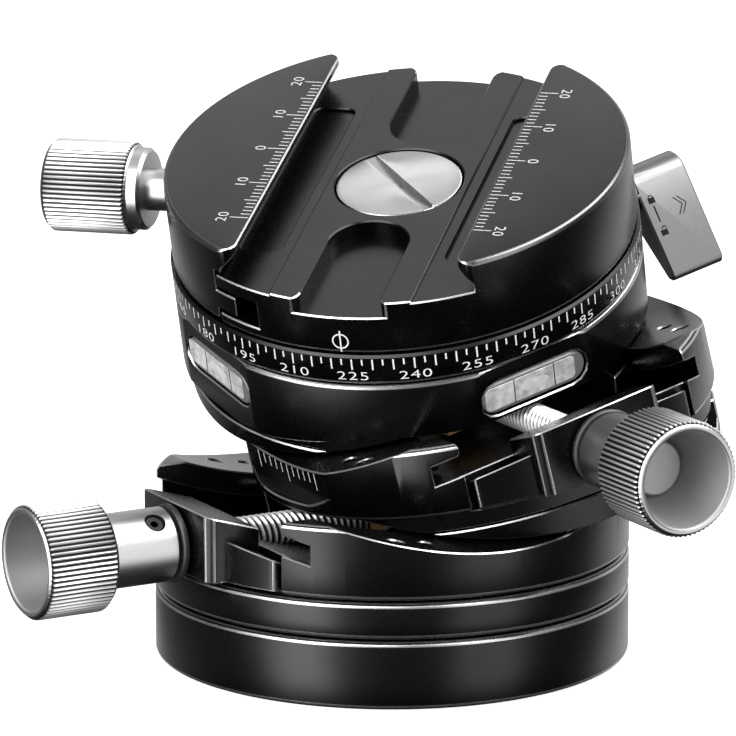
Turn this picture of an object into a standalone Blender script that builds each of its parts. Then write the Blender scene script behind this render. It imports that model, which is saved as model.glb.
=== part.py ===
"""Panoramic tripod head: two worm-driven tilts, one on the other, and a turning quick-release clamp.

The lower tilt swings about Y and the upper one about X. Each stage is a frame with arched rails,
a worm carrier with its knob, and a cradle with a brass rack that the worm drives. On top sit the
pan housing with its degree ring, two bubble vials and a lock lever, and the clamp with its moving jaw.

Everything is modelled level, then set on empties that lie on the joints, which give the tilted pose.
"""

import math

import bmesh
import bpy
from mathutils import Matrix, Vector

MM = 0.001

# Rest pose, in degrees, and how finely round things are cut
LOWER_TILT = -14.4
UPPER_TILT = -13.2
CLAMP_TURN = -47.3
SIDES = 36
MEDIUM_SIDES = 20
SMALL_SIDES = 8
ARC_STEPS = 16

# Gaps and overruns
GAP = 0.3 * MM
SEAM = 0.35 * MM
OVERRUN = 2.0 * MM

# The turned body and its base
BODY_R = 35.0 * MM
EDGE = 0.5 * MM
BASE_H = 10.05 * MM
RING_H = 5.35 * MM
RING_WALL = 14.0 * MM
RING_BORE_R = BODY_R - RING_WALL
SOCKET_R = 4.35 * MM
BUSH_WALL = 3.15 * MM
BUSH_R = SOCKET_R + BUSH_WALL
BUSH_FLANGE_W = 2.5 * MM
BUSH_FLANGE_R = BUSH_R + BUSH_FLANGE_W
BUSH_FLANGE_H = 1.5 * MM
BUSH_TOP_CLEAR = 0.65 * MM
BUSH_H = BASE_H - BUSH_TOP_CLEAR
BASE_SCREWS = 4
BASE_SCREW_START = 45.0
BASE_SCREW_INSET = 8.5 * MM
BASE_SCREW_CIRCLE_R = BODY_R - BASE_SCREW_INSET
BASE_SCREW_R = 1.5 * MM
BASE_SCREW_SHOULDER = 1.25 * MM
BASE_SCREW_HEAD_R = BASE_SCREW_R + BASE_SCREW_SHOULDER
BASE_SCREW_HEAD_H = 2.6 * MM
BASE_SCREW_RECESS = 0.5 * MM
BASE_SCREW_BITE = 1.4 * MM
HEX = 6
HEX_KEY_R = 1.4 * MM
HEX_KEY_DEPTH = 1.4 * MM

# One tilt stage, measured from the stage's bottom edge
STAGE_PITCH = 13.95 * MM
PLATE_H = 2.6 * MM
LOWER_PLATE_INSET = 2.0 * MM
LOWER_PLATE_R = BODY_R - LOWER_PLATE_INSET
UPPER_PLATE_INSET = 0.8 * MM
UPPER_PLATE_R = BODY_R - UPPER_PLATE_INSET
RAIL_RISE = 6.4 * MM
LAND_CLEAR = 0.7 * MM
LAND_RISE = STAGE_PITCH - PLATE_H - LAND_CLEAR
SWING_R = 70.5 * MM
CHANNEL_INSET = 15.7 * MM
CHANNEL_HALF = BODY_R - CHANNEL_INSET
GROOVE_DEPTH = 3.6 * MM
GROOVE_HALF = CHANNEL_HALF + GROOVE_DEPTH
RAIL_LIP_T = 3.5 * MM
GROOVE_IN_R = SWING_R + RAIL_LIP_T
GROOVE_H = 2.8 * MM
GROOVE_OUT_R = GROOVE_IN_R + GROOVE_H
TRENCH_HALF = 3.3 * MM
TRENCH_FLOOR_RISE = 1.3 * MM
FACET_DEPTH = 2.1 * MM
FACET_STEP_RISE = 1.7 * MM
FACET_STEP_H = 1.6 * MM
FACET_LOW_RISE = FACET_STEP_RISE + FACET_STEP_H
FACET_STEP = 1.3 * MM

# Rail screws and oil holes, on the tops of the rails
RAIL_SCREW_ALONG = 15.0 * MM
RAIL_HOLE_BACK = 4.8 * MM
RAIL_HOLE_ALONG = RAIL_SCREW_ALONG - RAIL_HOLE_BACK
RAIL_SCREW_INSET = 7.4 * MM
RAIL_SCREW_OUT = BODY_R - RAIL_SCREW_INSET
RAIL_SCREW_R = 1.0 * MM
RAIL_SCREW_H = 2.2 * MM
RAIL_HOLE_DEPTH = 2.8 * MM

# Worm carrier
CARRIER_PROUD = 1.2 * MM
CARRIER_REACH = BODY_R + CARRIER_PROUD
CARRIER_L = 8.4 * MM
CARRIER_REAR = CARRIER_REACH - CARRIER_L
BLOCK_HALF = 10.5 * MM
BLOCK_CORNER = 1.0 * MM
BLOCK_TOP_DROP = 4.1 * MM
BLOCK_TOP_R = SWING_R + BLOCK_TOP_DROP
ARM_CLEAR = 1.0 * MM
ARM_HALF = CHANNEL_HALF - ARM_CLEAR
ARM_TOP_DROP = 7.4 * MM
ARM_TOP_R = SWING_R + ARM_TOP_DROP
ARM_INSET = 0.1 * MM
CARRIER_SCREW_IN = 2.0 * MM
CARRIER_SCREW_BACK = CARRIER_REAR + CARRIER_SCREW_IN
CARRIER_SCREW_SIDE = 6.8 * MM
CARRIER_SCREW_R = 1.0 * MM
CARRIER_SCREW_SHOULDER = 0.6 * MM
CARRIER_SCREW_HEAD_R = CARRIER_SCREW_R + CARRIER_SCREW_SHOULDER
CARRIER_SCREW_HEAD_H = 1.2 * MM
CARRIER_SCREW_BITE = 2.6 * MM

# Worm, rack and thrust ring
WORM_RISE = 4.3 * MM
WORM_R = 2.4 * MM
TOOTH_DEPTH = 0.75 * MM
TOOTH_CLEAR = 0.4 * MM
THREAD_PITCH = 1.5 * MM
THREAD_STARTS = 2
THREAD_SIDES = 8
WORM_CLEAR = 0.8 * MM
WORM_FRONT = CARRIER_REAR - WORM_CLEAR
WORM_BACK = 7.6 * MM
CORE_SHARE = 0.92
JOURNAL_STEP = 0.5 * MM
JOURNAL_R = WORM_R - JOURNAL_STEP
TAIL_R = 1.2 * MM
TAIL_L = 3.8 * MM
END_BEARING_T = 3.2 * MM
END_BEARING_CLEAR = 0.7 * MM
END_BEARING_HALF = TRENCH_HALF - END_BEARING_CLEAR
END_BEARING_TOP = 2.0 * MM
END_BEARING_RISE = WORM_RISE + END_BEARING_TOP
THRUST_R = 5.75 * MM
THRUST_T = 1.0 * MM
RACK_HALF = 9.5 * MM
RACK_END_CLEAR = 4.3 * MM
RACK_HALF_L = CARRIER_REAR - RACK_END_CLEAR
RACK_DROP = 3.6 * MM
RACK_LOW_R = SWING_R + RACK_DROP
RACK_BITE = 0.9 * MM
RACK_TOP_RISE = STAGE_PITCH - PLATE_H + RACK_BITE
RACK_SLOT_CLEAR = 0.8 * MM
RACK_SLOT_HALF = WORM_R + RACK_SLOT_CLEAR
RACK_TEETH_SPAN = 18.3

# Cradle halves, which hang in the grooves of the rails
CRADLE_R = UPPER_PLATE_R
CRADLE_CLEAR = 0.4 * MM
CRADLE_INNER = RACK_HALF + GAP
CRADLE_LEG_T = 3.5 * MM
FLANGE_CLEAR = 0.3 * MM

# Knobs of the worms
KNOB_R = 8.4 * MM
KNOB_L = 11.2 * MM
KNOB_CHAMFER = 0.7 * MM
KNOB_FLUTES = 36
FLUTE_DEPTH = 0.45 * MM
NECK_R = 5.5 * MM
LOWER_NECK_L = 11.2 * MM
UPPER_NECK_L = 9.6 * MM
KNOB_WALL = 1.45 * MM
CUP_R = KNOB_R - KNOB_WALL
CUP_TAPER = 0.75 * MM
CUP_FLOOR_R = CUP_R - CUP_TAPER
CUP_DEPTH = 7.6 * MM
BUTTON_R = 3.6 * MM
BUTTON_H = 2.2 * MM
KNOB_BORE_DEPTH = 8.4 * MM
SET_SCREW_R = 1.3 * MM
SET_SCREW_L = 2.6 * MM
SET_SCREW_BACK = 3.2 * MM

# Pan housing and degree ring
PAN_SINK = 0.65 * MM
PAN_RISE = LAND_RISE - PAN_SINK
PAN_H = 12.45 * MM
PAN_PLATE_H = 4.0 * MM
PAN_ARC_R = 117.0 * MM
PAN_ARC_RISE = 3.15 * MM
RING_TALL = 4.8 * MM
RING_THICK = 3.5 * MM
RING_SEAT_R = BODY_R - RING_THICK
RING_CHAMFER = 0.35 * MM
PAN_FACET_DEPTH = 1.25 * MM
PAN_FACET = BODY_R - PAN_FACET_DEPTH
VIAL_L = 17.8 * MM
VIAL_W = 5.0 * MM
VIAL_T = 3.0 * MM
VIAL_SINK = 0.15 * MM
VIAL_RISE = 6.75 * MM
SHAFT_R = 10.0 * MM
SHAFT_FLANGE_W = 4.2 * MM
SHAFT_FLANGE_R = SHAFT_R + SHAFT_FLANGE_W
SHAFT_FLANGE_H = 2.2 * MM
SHAFT_FLANGE_RISE = 2.95 * MM
BEARING_IN_CLEAR = 5.0 * MM
BEARING_IN_R = SHAFT_R + BEARING_IN_CLEAR
BEARING_OUT_CLEAR = 2.5 * MM
BEARING_OUT_R = RING_SEAT_R - BEARING_OUT_CLEAR
BEARING_T = 0.65 * MM

# Pan lock lever, its spindle and brake shoe
LEVER_DROP = 3.3 * MM
LEVER_BOSS_L = 3.8 * MM
LEVER_IN = BODY_R + LEVER_BOSS_L
LEVER_T = 9.4 * MM
LEVER_OUT = LEVER_IN + LEVER_T
LEVER_R = 3.2 * MM
LEVER_TIP_R = 1.0 * MM
LEVER_L = 14.7 * MM
LEVER_HANG = 45.0
LEVER_BOSS_R = 3.7 * MM
SPINDLE_R = 2.5 * MM
SPINDLE_BITE = 5.0 * MM
SHOE_R = SPINDLE_R
SHOE_L = 5.0 * MM

# Clamp
CLAMP_INSET = 0.4 * MM
CLAMP_R = BODY_R - CLAMP_INSET
CLAMP_EDGE = 0.8 * MM
DECK_H = 8.25 * MM
JAW_H = 4.6 * MM
JAW_LIP = 16.6 * MM
JAW_LIP_H = 1.2 * MM
JAW_UNDERCUT = 2.4 * MM
JAW_ROOT = JAW_LIP + JAW_UNDERCUT
JAW_ROOT_H = 1.0 * MM
SPLIT_WALL = 1.0 * MM
SPLIT = JAW_ROOT + SPLIT_WALL
WINDOW_L = 7.0 * MM
WINDOW_END = SPLIT - WINDOW_L
WINDOW_INSET = 11.1 * MM
WINDOW_INNER = CLAMP_R - WINDOW_INSET
WINDOW_RISE = 1.55 * MM
WINDOW_H = 4.3 * MM
TAB_L = 3.2 * MM
TAB_END = SPLIT - TAB_L
POCKET_HALF = 6.0 * MM
POCKET_CLEAR = 2.0 * MM
POCKET_DEPTH = 2.4 * MM
RECESS_W = 4.2 * MM
RECESS_NEAR = JAW_LIP - RECESS_W
RECESS_INSET = 13.6 * MM
RECESS_HALF_L = CLAMP_R - RECESS_INSET
RECESS_DEPTH = 0.8 * MM
SCREW_HEAD_R = 9.4 * MM
SCREW_HEAD_H = 2.0 * MM
POCKET_START = SCREW_HEAD_R + POCKET_CLEAR
SCREW_SHANK_R = 3.0 * MM
SCREW_BITE = 6.0 * MM
SLOT_W = 1.6 * MM
SLOT_DEPTH = 1.2 * MM
SLOT_TURN = -47.0

# Jaw drive
DRIVE_DROP = 3.5 * MM
DRIVE_R = 2.2 * MM
DRIVE_L = 8.6 * MM
DRIVE_END = SPLIT - DRIVE_L
CLAMP_NECK_CLEAR = 0.5 * MM
CLAMP_NECK_IN = CLAMP_R + CLAMP_NECK_CLEAR
CLAMP_NECK_L = 5.9 * MM
CLAMP_KNOB_IN = CLAMP_NECK_IN + CLAMP_NECK_L
CLAMP_KNOB_L = 13.4 * MM
CLAMP_KNOB_OUT = CLAMP_KNOB_IN + CLAMP_KNOB_L
CLAMP_KNOB_R = 7.0 * MM
CLAMP_KNOB_FLUTES = 30
CLAMP_COLLAR_STEP = 0.8 * MM
CLAMP_COLLAR_R = CLAMP_KNOB_R - CLAMP_COLLAR_STEP
CLAMP_COLLAR_T = 2.0 * MM
CLAMP_NECK_WALL = 1.0 * MM
CLAMP_NECK_R = DRIVE_R + CLAMP_NECK_WALL
CLAMP_BORE_DEPTH = 9.0 * MM
PIN_R = 1.5 * MM
PIN_INSET = 19.1 * MM
PIN_OUT = CLAMP_R - PIN_INSET
PIN_DROP = 4.3 * MM
PIN_BODY_L = 8.5 * MM
PIN_BODY_END = SPLIT - PIN_BODY_L
PIN_END_INSET = 5.6 * MM
PIN_JAW_END = CLAMP_R - PIN_END_INSET
SPRING_CLEAR = 0.85 * MM
SPRING_R = PIN_R + SPRING_CLEAR
SPRING_WIRE_R = 0.25 * MM
SPRING_SEAT_CLEAR = 0.6 * MM
SPRING_SEAT_R = SPRING_R + SPRING_SEAT_CLEAR
SPRING_SEAT_DEPTH = 5.6 * MM
SPRING_TURNS = 4.0
SPRING_POINTS_PER_TURN = 8

# Heights and radii that follow from the sizes above
LOWER_STAGE_Z = BASE_H + SEAM + RING_H + SEAM
UPPER_STAGE_Z = LOWER_STAGE_Z + STAGE_PITCH
PAN_LOW_Z = UPPER_STAGE_Z + PAN_RISE
SHAFT_FLANGE_LOW = PAN_LOW_Z + SHAFT_FLANGE_RISE
VIAL_Z = PAN_LOW_Z + VIAL_RISE
RING_LOW = PAN_LOW_Z + PAN_H
LEVER_Z = RING_LOW - LEVER_DROP
CLAMP_LOW = RING_LOW + RING_TALL + SEAM
HUB_TOP = CLAMP_LOW - GAP - BEARING_T - GAP
DECK = CLAMP_LOW + DECK_H
JAW_TOP = DECK + JAW_H
DRIVE_Z = DECK - DRIVE_DROP
PIN_Z = DECK - PIN_DROP
WINDOW_LOW = CLAMP_LOW + WINDOW_RISE
WINDOW_HIGH = WINDOW_LOW + WINDOW_H
THREAD_LEAD = THREAD_PITCH * THREAD_STARTS
WORM_SWING_R = SWING_R + RAIL_RISE - WORM_RISE
TOOTH_TIP_R = WORM_SWING_R - WORM_R + TOOTH_DEPTH - TOOTH_CLEAR
TOOTH_ROOT_R = WORM_SWING_R - WORM_R - TOOTH_CLEAR
PITCH_R = (TOOTH_TIP_R + WORM_SWING_R - WORM_R) / 2
WORM_RATIO = 2 * math.pi * PITCH_R / THREAD_LEAD
ARC_REACH = CARRIER_REACH + OVERRUN
THRUST_START = CARRIER_REACH + GAP
NECK_START = THRUST_START + THRUST_T + GAP

# Colour, metalness and roughness of each finish
FINISHES = {
    "black_anodised": ((0.018, 0.018, 0.020), 0.9, 0.42),
    "silver_anodised": ((0.62, 0.61, 0.60), 1.0, 0.30),
    "steel": ((0.66, 0.66, 0.67), 1.0, 0.22),
    "brass": ((0.60, 0.36, 0.12), 1.0, 0.32),
    "black_nylon": ((0.03, 0.03, 0.03), 0.0, 0.55),
    "vial": ((0.72, 0.80, 0.76), 0.0, 0.08),
    "brushed_lever": ((0.42, 0.41, 0.41), 1.0, 0.34),
}


def clear_scene():
    for item in list(bpy.data.objects):
        bpy.data.objects.remove(item, do_unlink=True)


def finish(name):
    material = bpy.data.materials.get(name)
    if material is None:
        colour, metallic, roughness = FINISHES[name]
        material = bpy.data.materials.new(name)
        material.use_nodes = True
        shader = material.node_tree.nodes["Principled BSDF"]
        shader.inputs["Base Color"].default_value = (*colour, 1.0)
        shader.inputs["Metallic"].default_value = metallic
        shader.inputs["Roughness"].default_value = roughness
    return material


def turns(count, start=0.0):
    """Angles of a full circle, in radians."""
    return [start + 2 * math.pi * step / count for step in range(count)]


def join_rings(bm, first, second):
    """Faces between two rings, where one may be a single point or have twice the other's points."""
    if len(first) == 1 and len(second) == 1:
        return
    if len(first) < len(second):
        first, second = second, first
    count = len(second)
    for i in range(count):
        a, b = second[i], second[(i + 1) % count]
        if count == 1:
            for c, d in zip(first, first[1:] + first[:1]):
                bm.faces.new((a, c, d))
        elif len(first) == count:
            bm.faces.new((a, b, first[(i + 1) % count], first[i]))
        else:
            crest, dip, following = first[2 * i], first[2 * i + 1], first[(2 * i + 2) % len(first)]
            bm.faces.new((a, crest, dip))
            bm.faces.new((a, dip, b))
            bm.faces.new((b, dip, following))


def closed(bm):
    bmesh.ops.recalc_face_normals(bm, faces=bm.faces)
    return bm


def revolve(profile, sides=SIDES):
    """A turned solid about Z from a closed profile of (radius, height) points."""
    bm = bmesh.new()
    rings = []
    for radius, z in profile:
        if radius == 0:
            rings.append([bm.verts.new((0, 0, z))])
        else:
            rings.append([bm.verts.new((radius * math.cos(a), radius * math.sin(a), z)) for a in turns(sides)])
    for first, second in zip(rings, rings[1:] + rings[:1]):
        join_rings(bm, first, second)
    return closed(bm)


def prism(outline, low, high, plane="xy"):
    """An outline of two-number points, pushed from low to high square to its plane."""
    bm = bmesh.new()
    spots = {
        "xy": lambda a, b, h: (a, b, h),
        "xz": lambda a, b, h: (a, h, b),
        "yz": lambda a, b, h: (h, a, b),
    }[plane]
    near = [bm.verts.new(spots(a, b, low)) for a, b in outline]
    far = [bm.verts.new(spots(a, b, high)) for a, b in outline]
    bm.faces.new(near)
    bm.faces.new(reversed(far))
    join_rings(bm, near, far)
    return closed(bm)


def box(x, y, z):
    """A block from three pairs of limits."""
    return prism([(x[0], y[0]), (x[1], y[0]), (x[1], y[1]), (x[0], y[1])], z[0], z[1])


def moved(bm, matrix):
    bmesh.ops.transform(bm, matrix=matrix, verts=bm.verts)
    return bm


def laid(bm, axis, centre):
    """From a shape about Z to one about a line along X or Z, through centre on the other two axes."""
    if axis == "x":
        moved(bm, Matrix.Rotation(math.pi / 2, 4, "Y"))
        return moved(bm, Matrix.Translation((0, *centre)))
    return moved(bm, Matrix.Translation((*centre, 0)))


def rod(radius, start, end, axis="z", centre=(0, 0), sides=SMALL_SIDES):
    """A round bar from start to end along an axis."""
    return laid(revolve([(0, start), (radius, start), (radius, end), (0, end)], sides), axis, centre)


def stepped_rod(wide, narrow, start, step, end, axis="z", centre=(0, 0), sides=SMALL_SIDES):
    """A bar that is wide from start to step and narrow from there to end, as a screw or a counterbore is."""
    profile = [(0, start), (wide, start), (wide, step), (narrow, step), (narrow, end), (0, end)]
    return laid(revolve(profile, sides), axis, centre)


def to_object(bm, name):
    mesh = bpy.data.meshes.new(name)
    bm.to_mesh(mesh)
    bm.free()
    item = bpy.data.objects.new(name, mesh)
    bpy.context.scene.collection.objects.link(item)
    return item


def combine(bm, tools, operation="DIFFERENCE"):
    """The shape after each tool has been cut from it, joined to it or kept in common with it."""
    item = to_object(bm, "work")
    cutters = []
    for tool in tools:
        cutter = to_object(tool, "cutter")
        cutter.hide_render = True
        cutter.display_type = "WIRE"
        cutters.append(cutter)
        modifier = item.modifiers.new("cut", "BOOLEAN")
        modifier.operation = operation
        modifier.solver = "EXACT"
        modifier.object = cutter
    bpy.context.view_layer.update()
    evaluated = item.evaluated_get(bpy.context.evaluated_depsgraph_get())
    result = bmesh.new()
    result.from_mesh(evaluated.to_mesh())
    evaluated.to_mesh_clear()
    for leftover in [item, *cutters]:
        bpy.data.objects.remove(leftover, do_unlink=True)
    bmesh.ops.remove_doubles(result, verts=result.verts, dist=GAP / 100)
    bmesh.ops.dissolve_degenerate(result, edges=result.edges, dist=GAP / 100)
    return result


def piece(name, bm, finish_name, parent=None, about=(0, 0, 0)):
    """A finished object, made level; about is where its parent's origin lies in that level layout."""
    item = to_object(bm, name)
    item.data.materials.append(finish(finish_name))
    item.data.shade_smooth()
    item.data.set_sharp_from_angle(angle=math.radians(32))
    item.parent = parent
    item.location = -Vector(about)
    return item


def arc_points(centre_z, radius, steps=ARC_STEPS):
    """Points of an arc that hangs below its centre and ends just outside the body, from -X to +X."""
    span = math.asin(ARC_REACH / radius)
    angles = [span * (2 * step / steps - 1) for step in range(steps + 1)]
    return [(radius * math.sin(a), centre_z - radius * math.cos(a)) for a in angles]


def drum(centre_z, radius, low, high):
    """The inside of a swing arc, from low to high along Y."""
    arc = arc_points(centre_z, radius)
    return prism([*arc, (arc[-1][0], centre_z), (arc[0][0], centre_z)], low, high, "xz")


def arc_band(centre_z, inner, outer, low, high):
    """The space between two swing arcs."""
    return prism([*arc_points(centre_z, outer), *reversed(arc_points(centre_z, inner))], low, high, "xz")


class Stage:
    """One tilt stage. Its rails run along the stage's own X, and its worm carrier is at -X."""

    def __init__(self, name, bottom, plate_r, neck, quarter_turns, tilt):
        self.name = name
        self.bottom = bottom
        self.plate_r = plate_r
        self.neck = neck
        self.turn = Matrix.Rotation(quarter_turns * math.pi / 2, 4, "Z")
        self.centre = bottom + RAIL_RISE + SWING_R
        self.worm_z = bottom + WORM_RISE
        self.worm_angle = WORM_RATIO * math.radians(tilt)

    def level(self, bm):
        """From the stage's own axes to the head's level axes."""
        return moved(bm, self.turn)

    def rail_top(self, along):
        return self.centre - math.sqrt(SWING_R**2 - along**2)


def rail_spots():
    """The four rail screws' places in a stage."""
    return [(along * RAIL_SCREW_ALONG, side * RAIL_SCREW_OUT) for along in (-1, 1) for side in (-1, 1)]


def tilt_frame(stage):
    """The arched rails, the channel between them, the grooves and the plate below."""
    low = stage.bottom - PLATE_H
    land = stage.bottom + LAND_RISE
    reach = BODY_R + OVERRUN
    body = revolve(
        [
            (0, low),
            (stage.plate_r, low),
            (stage.plate_r, stage.bottom),
            (BODY_R - EDGE, stage.bottom),
            (BODY_R, stage.bottom + EDGE),
            (BODY_R, land - EDGE),
            (BODY_R - EDGE, land),
            (0, land),
        ]
    )
    holes = []
    for along, side in rail_spots():
        top = stage.rail_top(RAIL_SCREW_ALONG)
        screw_place = (along, side)
        holes.append(rod(RAIL_SCREW_R + GAP, top - RAIL_HOLE_DEPTH, top + OVERRUN, centre=screw_place))
        oil_place = (math.copysign(RAIL_HOLE_ALONG, along), side)
        holes.append(rod(RAIL_SCREW_R, top - RAIL_HOLE_DEPTH, top + OVERRUN, centre=oil_place))
    for side in (-1, 1):
        place = (-CARRIER_SCREW_BACK, side * CARRIER_SCREW_SIDE)
        head_top = low + CARRIER_SCREW_HEAD_H + GAP
        wide = CARRIER_SCREW_HEAD_R + GAP
        holes.append(stepped_rod(wide, CARRIER_SCREW_R + GAP, low - OVERRUN, head_top, land, centre=place))
    tools = [
        drum(stage.centre, SWING_R, -reach, reach),
        drum(stage.centre, GROOVE_OUT_R, -CHANNEL_HALF, CHANNEL_HALF),
        arc_band(stage.centre, GROOVE_IN_R, GROOVE_OUT_R, -GROOVE_HALF, GROOVE_HALF),
        box((-reach, GAP - CARRIER_REAR), (-CHANNEL_HALF, CHANNEL_HALF), (stage.bottom, land + OVERRUN)),
        box(
            (-CARRIER_REAR, WORM_BACK + TAIL_L + GAP),
            (-TRENCH_HALF, TRENCH_HALF),
            (stage.bottom + TRENCH_FLOOR_RISE, land),
        ),
        *holes,
    ]
    return stage.level(combine(body, tools))


def rail_screws(stage, parent, about):
    for number, (along, side) in enumerate(rail_spots(), start=1):
        top = stage.rail_top(RAIL_SCREW_ALONG) - GAP
        low = top - RAIL_SCREW_H
        dome = revolve(
            [
                (0, low),
                (RAIL_SCREW_R, low),
                (RAIL_SCREW_R, top - RAIL_SCREW_R / 2),
                (RAIL_SCREW_R * math.sin(math.pi / 4), top - RAIL_SCREW_R / 8),
                (0, top),
            ],
            SMALL_SIDES,
        )
        moved(dome, Matrix.Translation((along, side, 0)))
        piece(f"{stage.name}_rail_screw_{number}", stage.level(dome), "steel", parent, about)


def worm_carrier(stage):
    """The block that holds the worm, with an arm on each side that follows the body's round wall."""
    low = stage.bottom + GAP
    high = stage.bottom + LAND_RISE + OVERRUN
    front = CARRIER_REACH
    block = prism(
        [
            (-front, BLOCK_CORNER - BLOCK_HALF),
            (BLOCK_CORNER - front, -BLOCK_HALF),
            (-CARRIER_REAR, -BLOCK_HALF),
            (-CARRIER_REAR, BLOCK_HALF),
            (BLOCK_CORNER - front, BLOCK_HALF),
            (-front, BLOCK_HALF - BLOCK_CORNER),
        ],
        low,
        high,
    )
    arm_r = BODY_R - ARM_INSET
    sweep = math.asin(ARM_HALF / arm_r)
    outline = []
    for step in range(ARC_STEPS + 1):
        angle = math.pi - sweep + 2 * sweep * step / ARC_STEPS
        outline.append((arm_r * math.cos(angle), arm_r * math.sin(angle)))
    outline += [(-CARRIER_REAR, -ARM_HALF), (-CARRIER_REAR, ARM_HALF)]
    arms = prism(outline, low, high)
    reach = BODY_R + OVERRUN
    block = combine(block, [drum(stage.centre, BLOCK_TOP_R, -reach, reach)])
    arms = combine(arms, [drum(stage.centre, ARM_TOP_R, -reach, reach)])
    carrier = combine(arms, [block], "UNION")
    bore = rod(JOURNAL_R + GAP, -front - OVERRUN, OVERRUN - CARRIER_REAR, "x", (0, stage.worm_z), MEDIUM_SIDES)
    screw_top = low + CARRIER_SCREW_BITE + GAP
    taps = [
        rod(
            CARRIER_SCREW_R + GAP,
            low - OVERRUN,
            screw_top,
            centre=(-CARRIER_SCREW_BACK, side * CARRIER_SCREW_SIDE),
        )
        for side in (-1, 1)
    ]
    return stage.level(combine(carrier, [bore, *taps]))


def carrier_screw(stage, side):
    """A flat-head screw up through the plate into the carrier."""
    low = stage.bottom - PLATE_H + GAP
    head = low + CARRIER_SCREW_HEAD_H - GAP
    top = stage.bottom + GAP + CARRIER_SCREW_BITE
    place = (-CARRIER_SCREW_BACK, side * CARRIER_SCREW_SIDE)
    return stage.level(stepped_rod(CARRIER_SCREW_HEAD_R, CARRIER_SCREW_R, low, head, top, centre=place))


def thread(start, end, sides=THREAD_SIDES):
    """A two-start V thread along X, crest up at X = 0, with ends that run out to the root."""
    bm = bmesh.new()
    half = THREAD_PITCH / 2
    rows = range(math.floor(start / half) - 5, math.ceil(end / half) + 6)
    shift = round(THREAD_LEAD / half)
    columns = []
    for angle in turns(sides):
        first = last = None
        column = {}
        for row in rows:
            along = row * half + THREAD_LEAD * (angle / (2 * math.pi) - 0.25)
            inside = start < along < end
            radius = WORM_R if inside and row % 2 == 0 else WORM_R - TOOTH_DEPTH
            spot = (min(max(along, start), end), radius * math.cos(angle), radius * math.sin(angle))
            if along <= start:
                first = first or bm.verts.new(spot)
                column[row] = first
            elif along >= end:
                last = last or bm.verts.new(spot)
                column[row] = last
            else:
                column[row] = bm.verts.new(spot)
        columns.append((column, first, last))
    for place, (column, _, _) in enumerate(columns):
        wraps = place == sides - 1
        following = columns[0][0] if wraps else columns[place + 1][0]
        offset = shift if wraps else 0
        for row in rows:
            corners = [
                column.get(row),
                column.get(row + 1),
                following.get(row + 1 + offset),
                following.get(row + offset),
            ]
            if None in corners:
                continue
            kept = [v for i, v in enumerate(corners) if v is not corners[i - 1]]
            if len(set(kept)) == len(kept) and len(kept) > 2:
                bm.faces.new(kept)
    bm.faces.new([first for _, first, _ in columns])
    bm.faces.new([last for _, _, last in reversed(columns)])
    bmesh.ops.triangulate(bm, faces=bm.faces)
    return closed(bm)


def worm():
    """The worm with its journals: the front one runs in the carrier and holds the knob."""
    tip = NECK_START + KNOB_BORE_DEPTH - GAP
    core_r = (WORM_R - TOOTH_DEPTH) * CORE_SHARE
    core = revolve(
        [
            (0, -tip),
            (JOURNAL_R, -tip),
            (JOURNAL_R, -WORM_FRONT - GAP),
            (core_r, -WORM_FRONT - GAP),
            (core_r, WORM_BACK - GAP),
            (TAIL_R, WORM_BACK - GAP),
            (TAIL_R, WORM_BACK + TAIL_L),
            (0, WORM_BACK + TAIL_L),
        ],
        THREAD_SIDES,
    )
    core = moved(core, Matrix.Rotation(math.pi / 2, 4, "Y"))
    return combine(thread(-WORM_FRONT, WORM_BACK), [core], "UNION")


def fluted_knob(radius, back, front, flutes, chamfer, inner):
    """A knob about Z with V flutes, from its back edge to its front edge; inner is the rest of its profile."""
    bm = bmesh.new()
    fine = 2 * flutes

    def plain(r, z, sides=flutes // 2):
        if r == 0:
            return [bm.verts.new((0, 0, z))]
        return [bm.verts.new((r * math.cos(a), r * math.sin(a), z)) for a in turns(sides)]

    def fluted(z):
        ring = []
        for step, a in enumerate(turns(fine)):
            r = radius - FLUTE_DEPTH * (step % 2)
            ring.append(bm.verts.new((r * math.cos(a), r * math.sin(a), z)))
        return ring

    rim = radius - chamfer
    rings = [
        plain(rim, back, flutes),
        fluted(back + chamfer),
        fluted(front - chamfer),
        plain(rim, front, flutes),
    ]
    rings += [plain(r, z) for r, z in inner]
    for first, second in zip(rings, rings[1:] + rings[:1]):
        join_rings(bm, first, second)
    return closed(bm)


def worm_knob(stage):
    """Neck and cupped head in one piece, bored for the worm and tapped for its set screw."""
    head = stage.neck
    front = head + KNOB_L
    floor = front - CUP_DEPTH
    inner = [
        (CUP_R, front),
        (CUP_FLOOR_R, floor),
        (BUTTON_R, floor),
        (BUTTON_R, floor + BUTTON_H),
        (0, floor + BUTTON_H),
        (0, KNOB_BORE_DEPTH),
        (JOURNAL_R + GAP, KNOB_BORE_DEPTH),
        (JOURNAL_R + GAP, 0),
        (NECK_R - EDGE, 0),
        (NECK_R, EDGE),
        (NECK_R, head),
    ]
    knob = fluted_knob(KNOB_R, head, front, KNOB_FLUTES, KNOB_CHAMFER, inner)
    tap = rod(SET_SCREW_R + GAP, 0, NECK_R + OVERRUN, "x", (0, SET_SCREW_BACK))
    return combine(knob, [tap])


def along_worm(bm):
    """From a shape about +Z with its back at zero to one that points along the stage's -X from the neck."""
    moved(bm, Matrix.Rotation(-math.pi / 2, 4, "Y"))
    return moved(bm, Matrix.Translation((-NECK_START, 0, 0)))


def set_screw():
    screw = rod(SET_SCREW_R, NECK_R - EDGE - SET_SCREW_L, NECK_R - EDGE, "x", (0, SET_SCREW_BACK))
    socket = rod(SET_SCREW_R / 2, NECK_R - EDGE - SET_SCREW_L / 2, NECK_R, "x", (0, SET_SCREW_BACK), HEX)
    return combine(screw, [socket])


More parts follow.
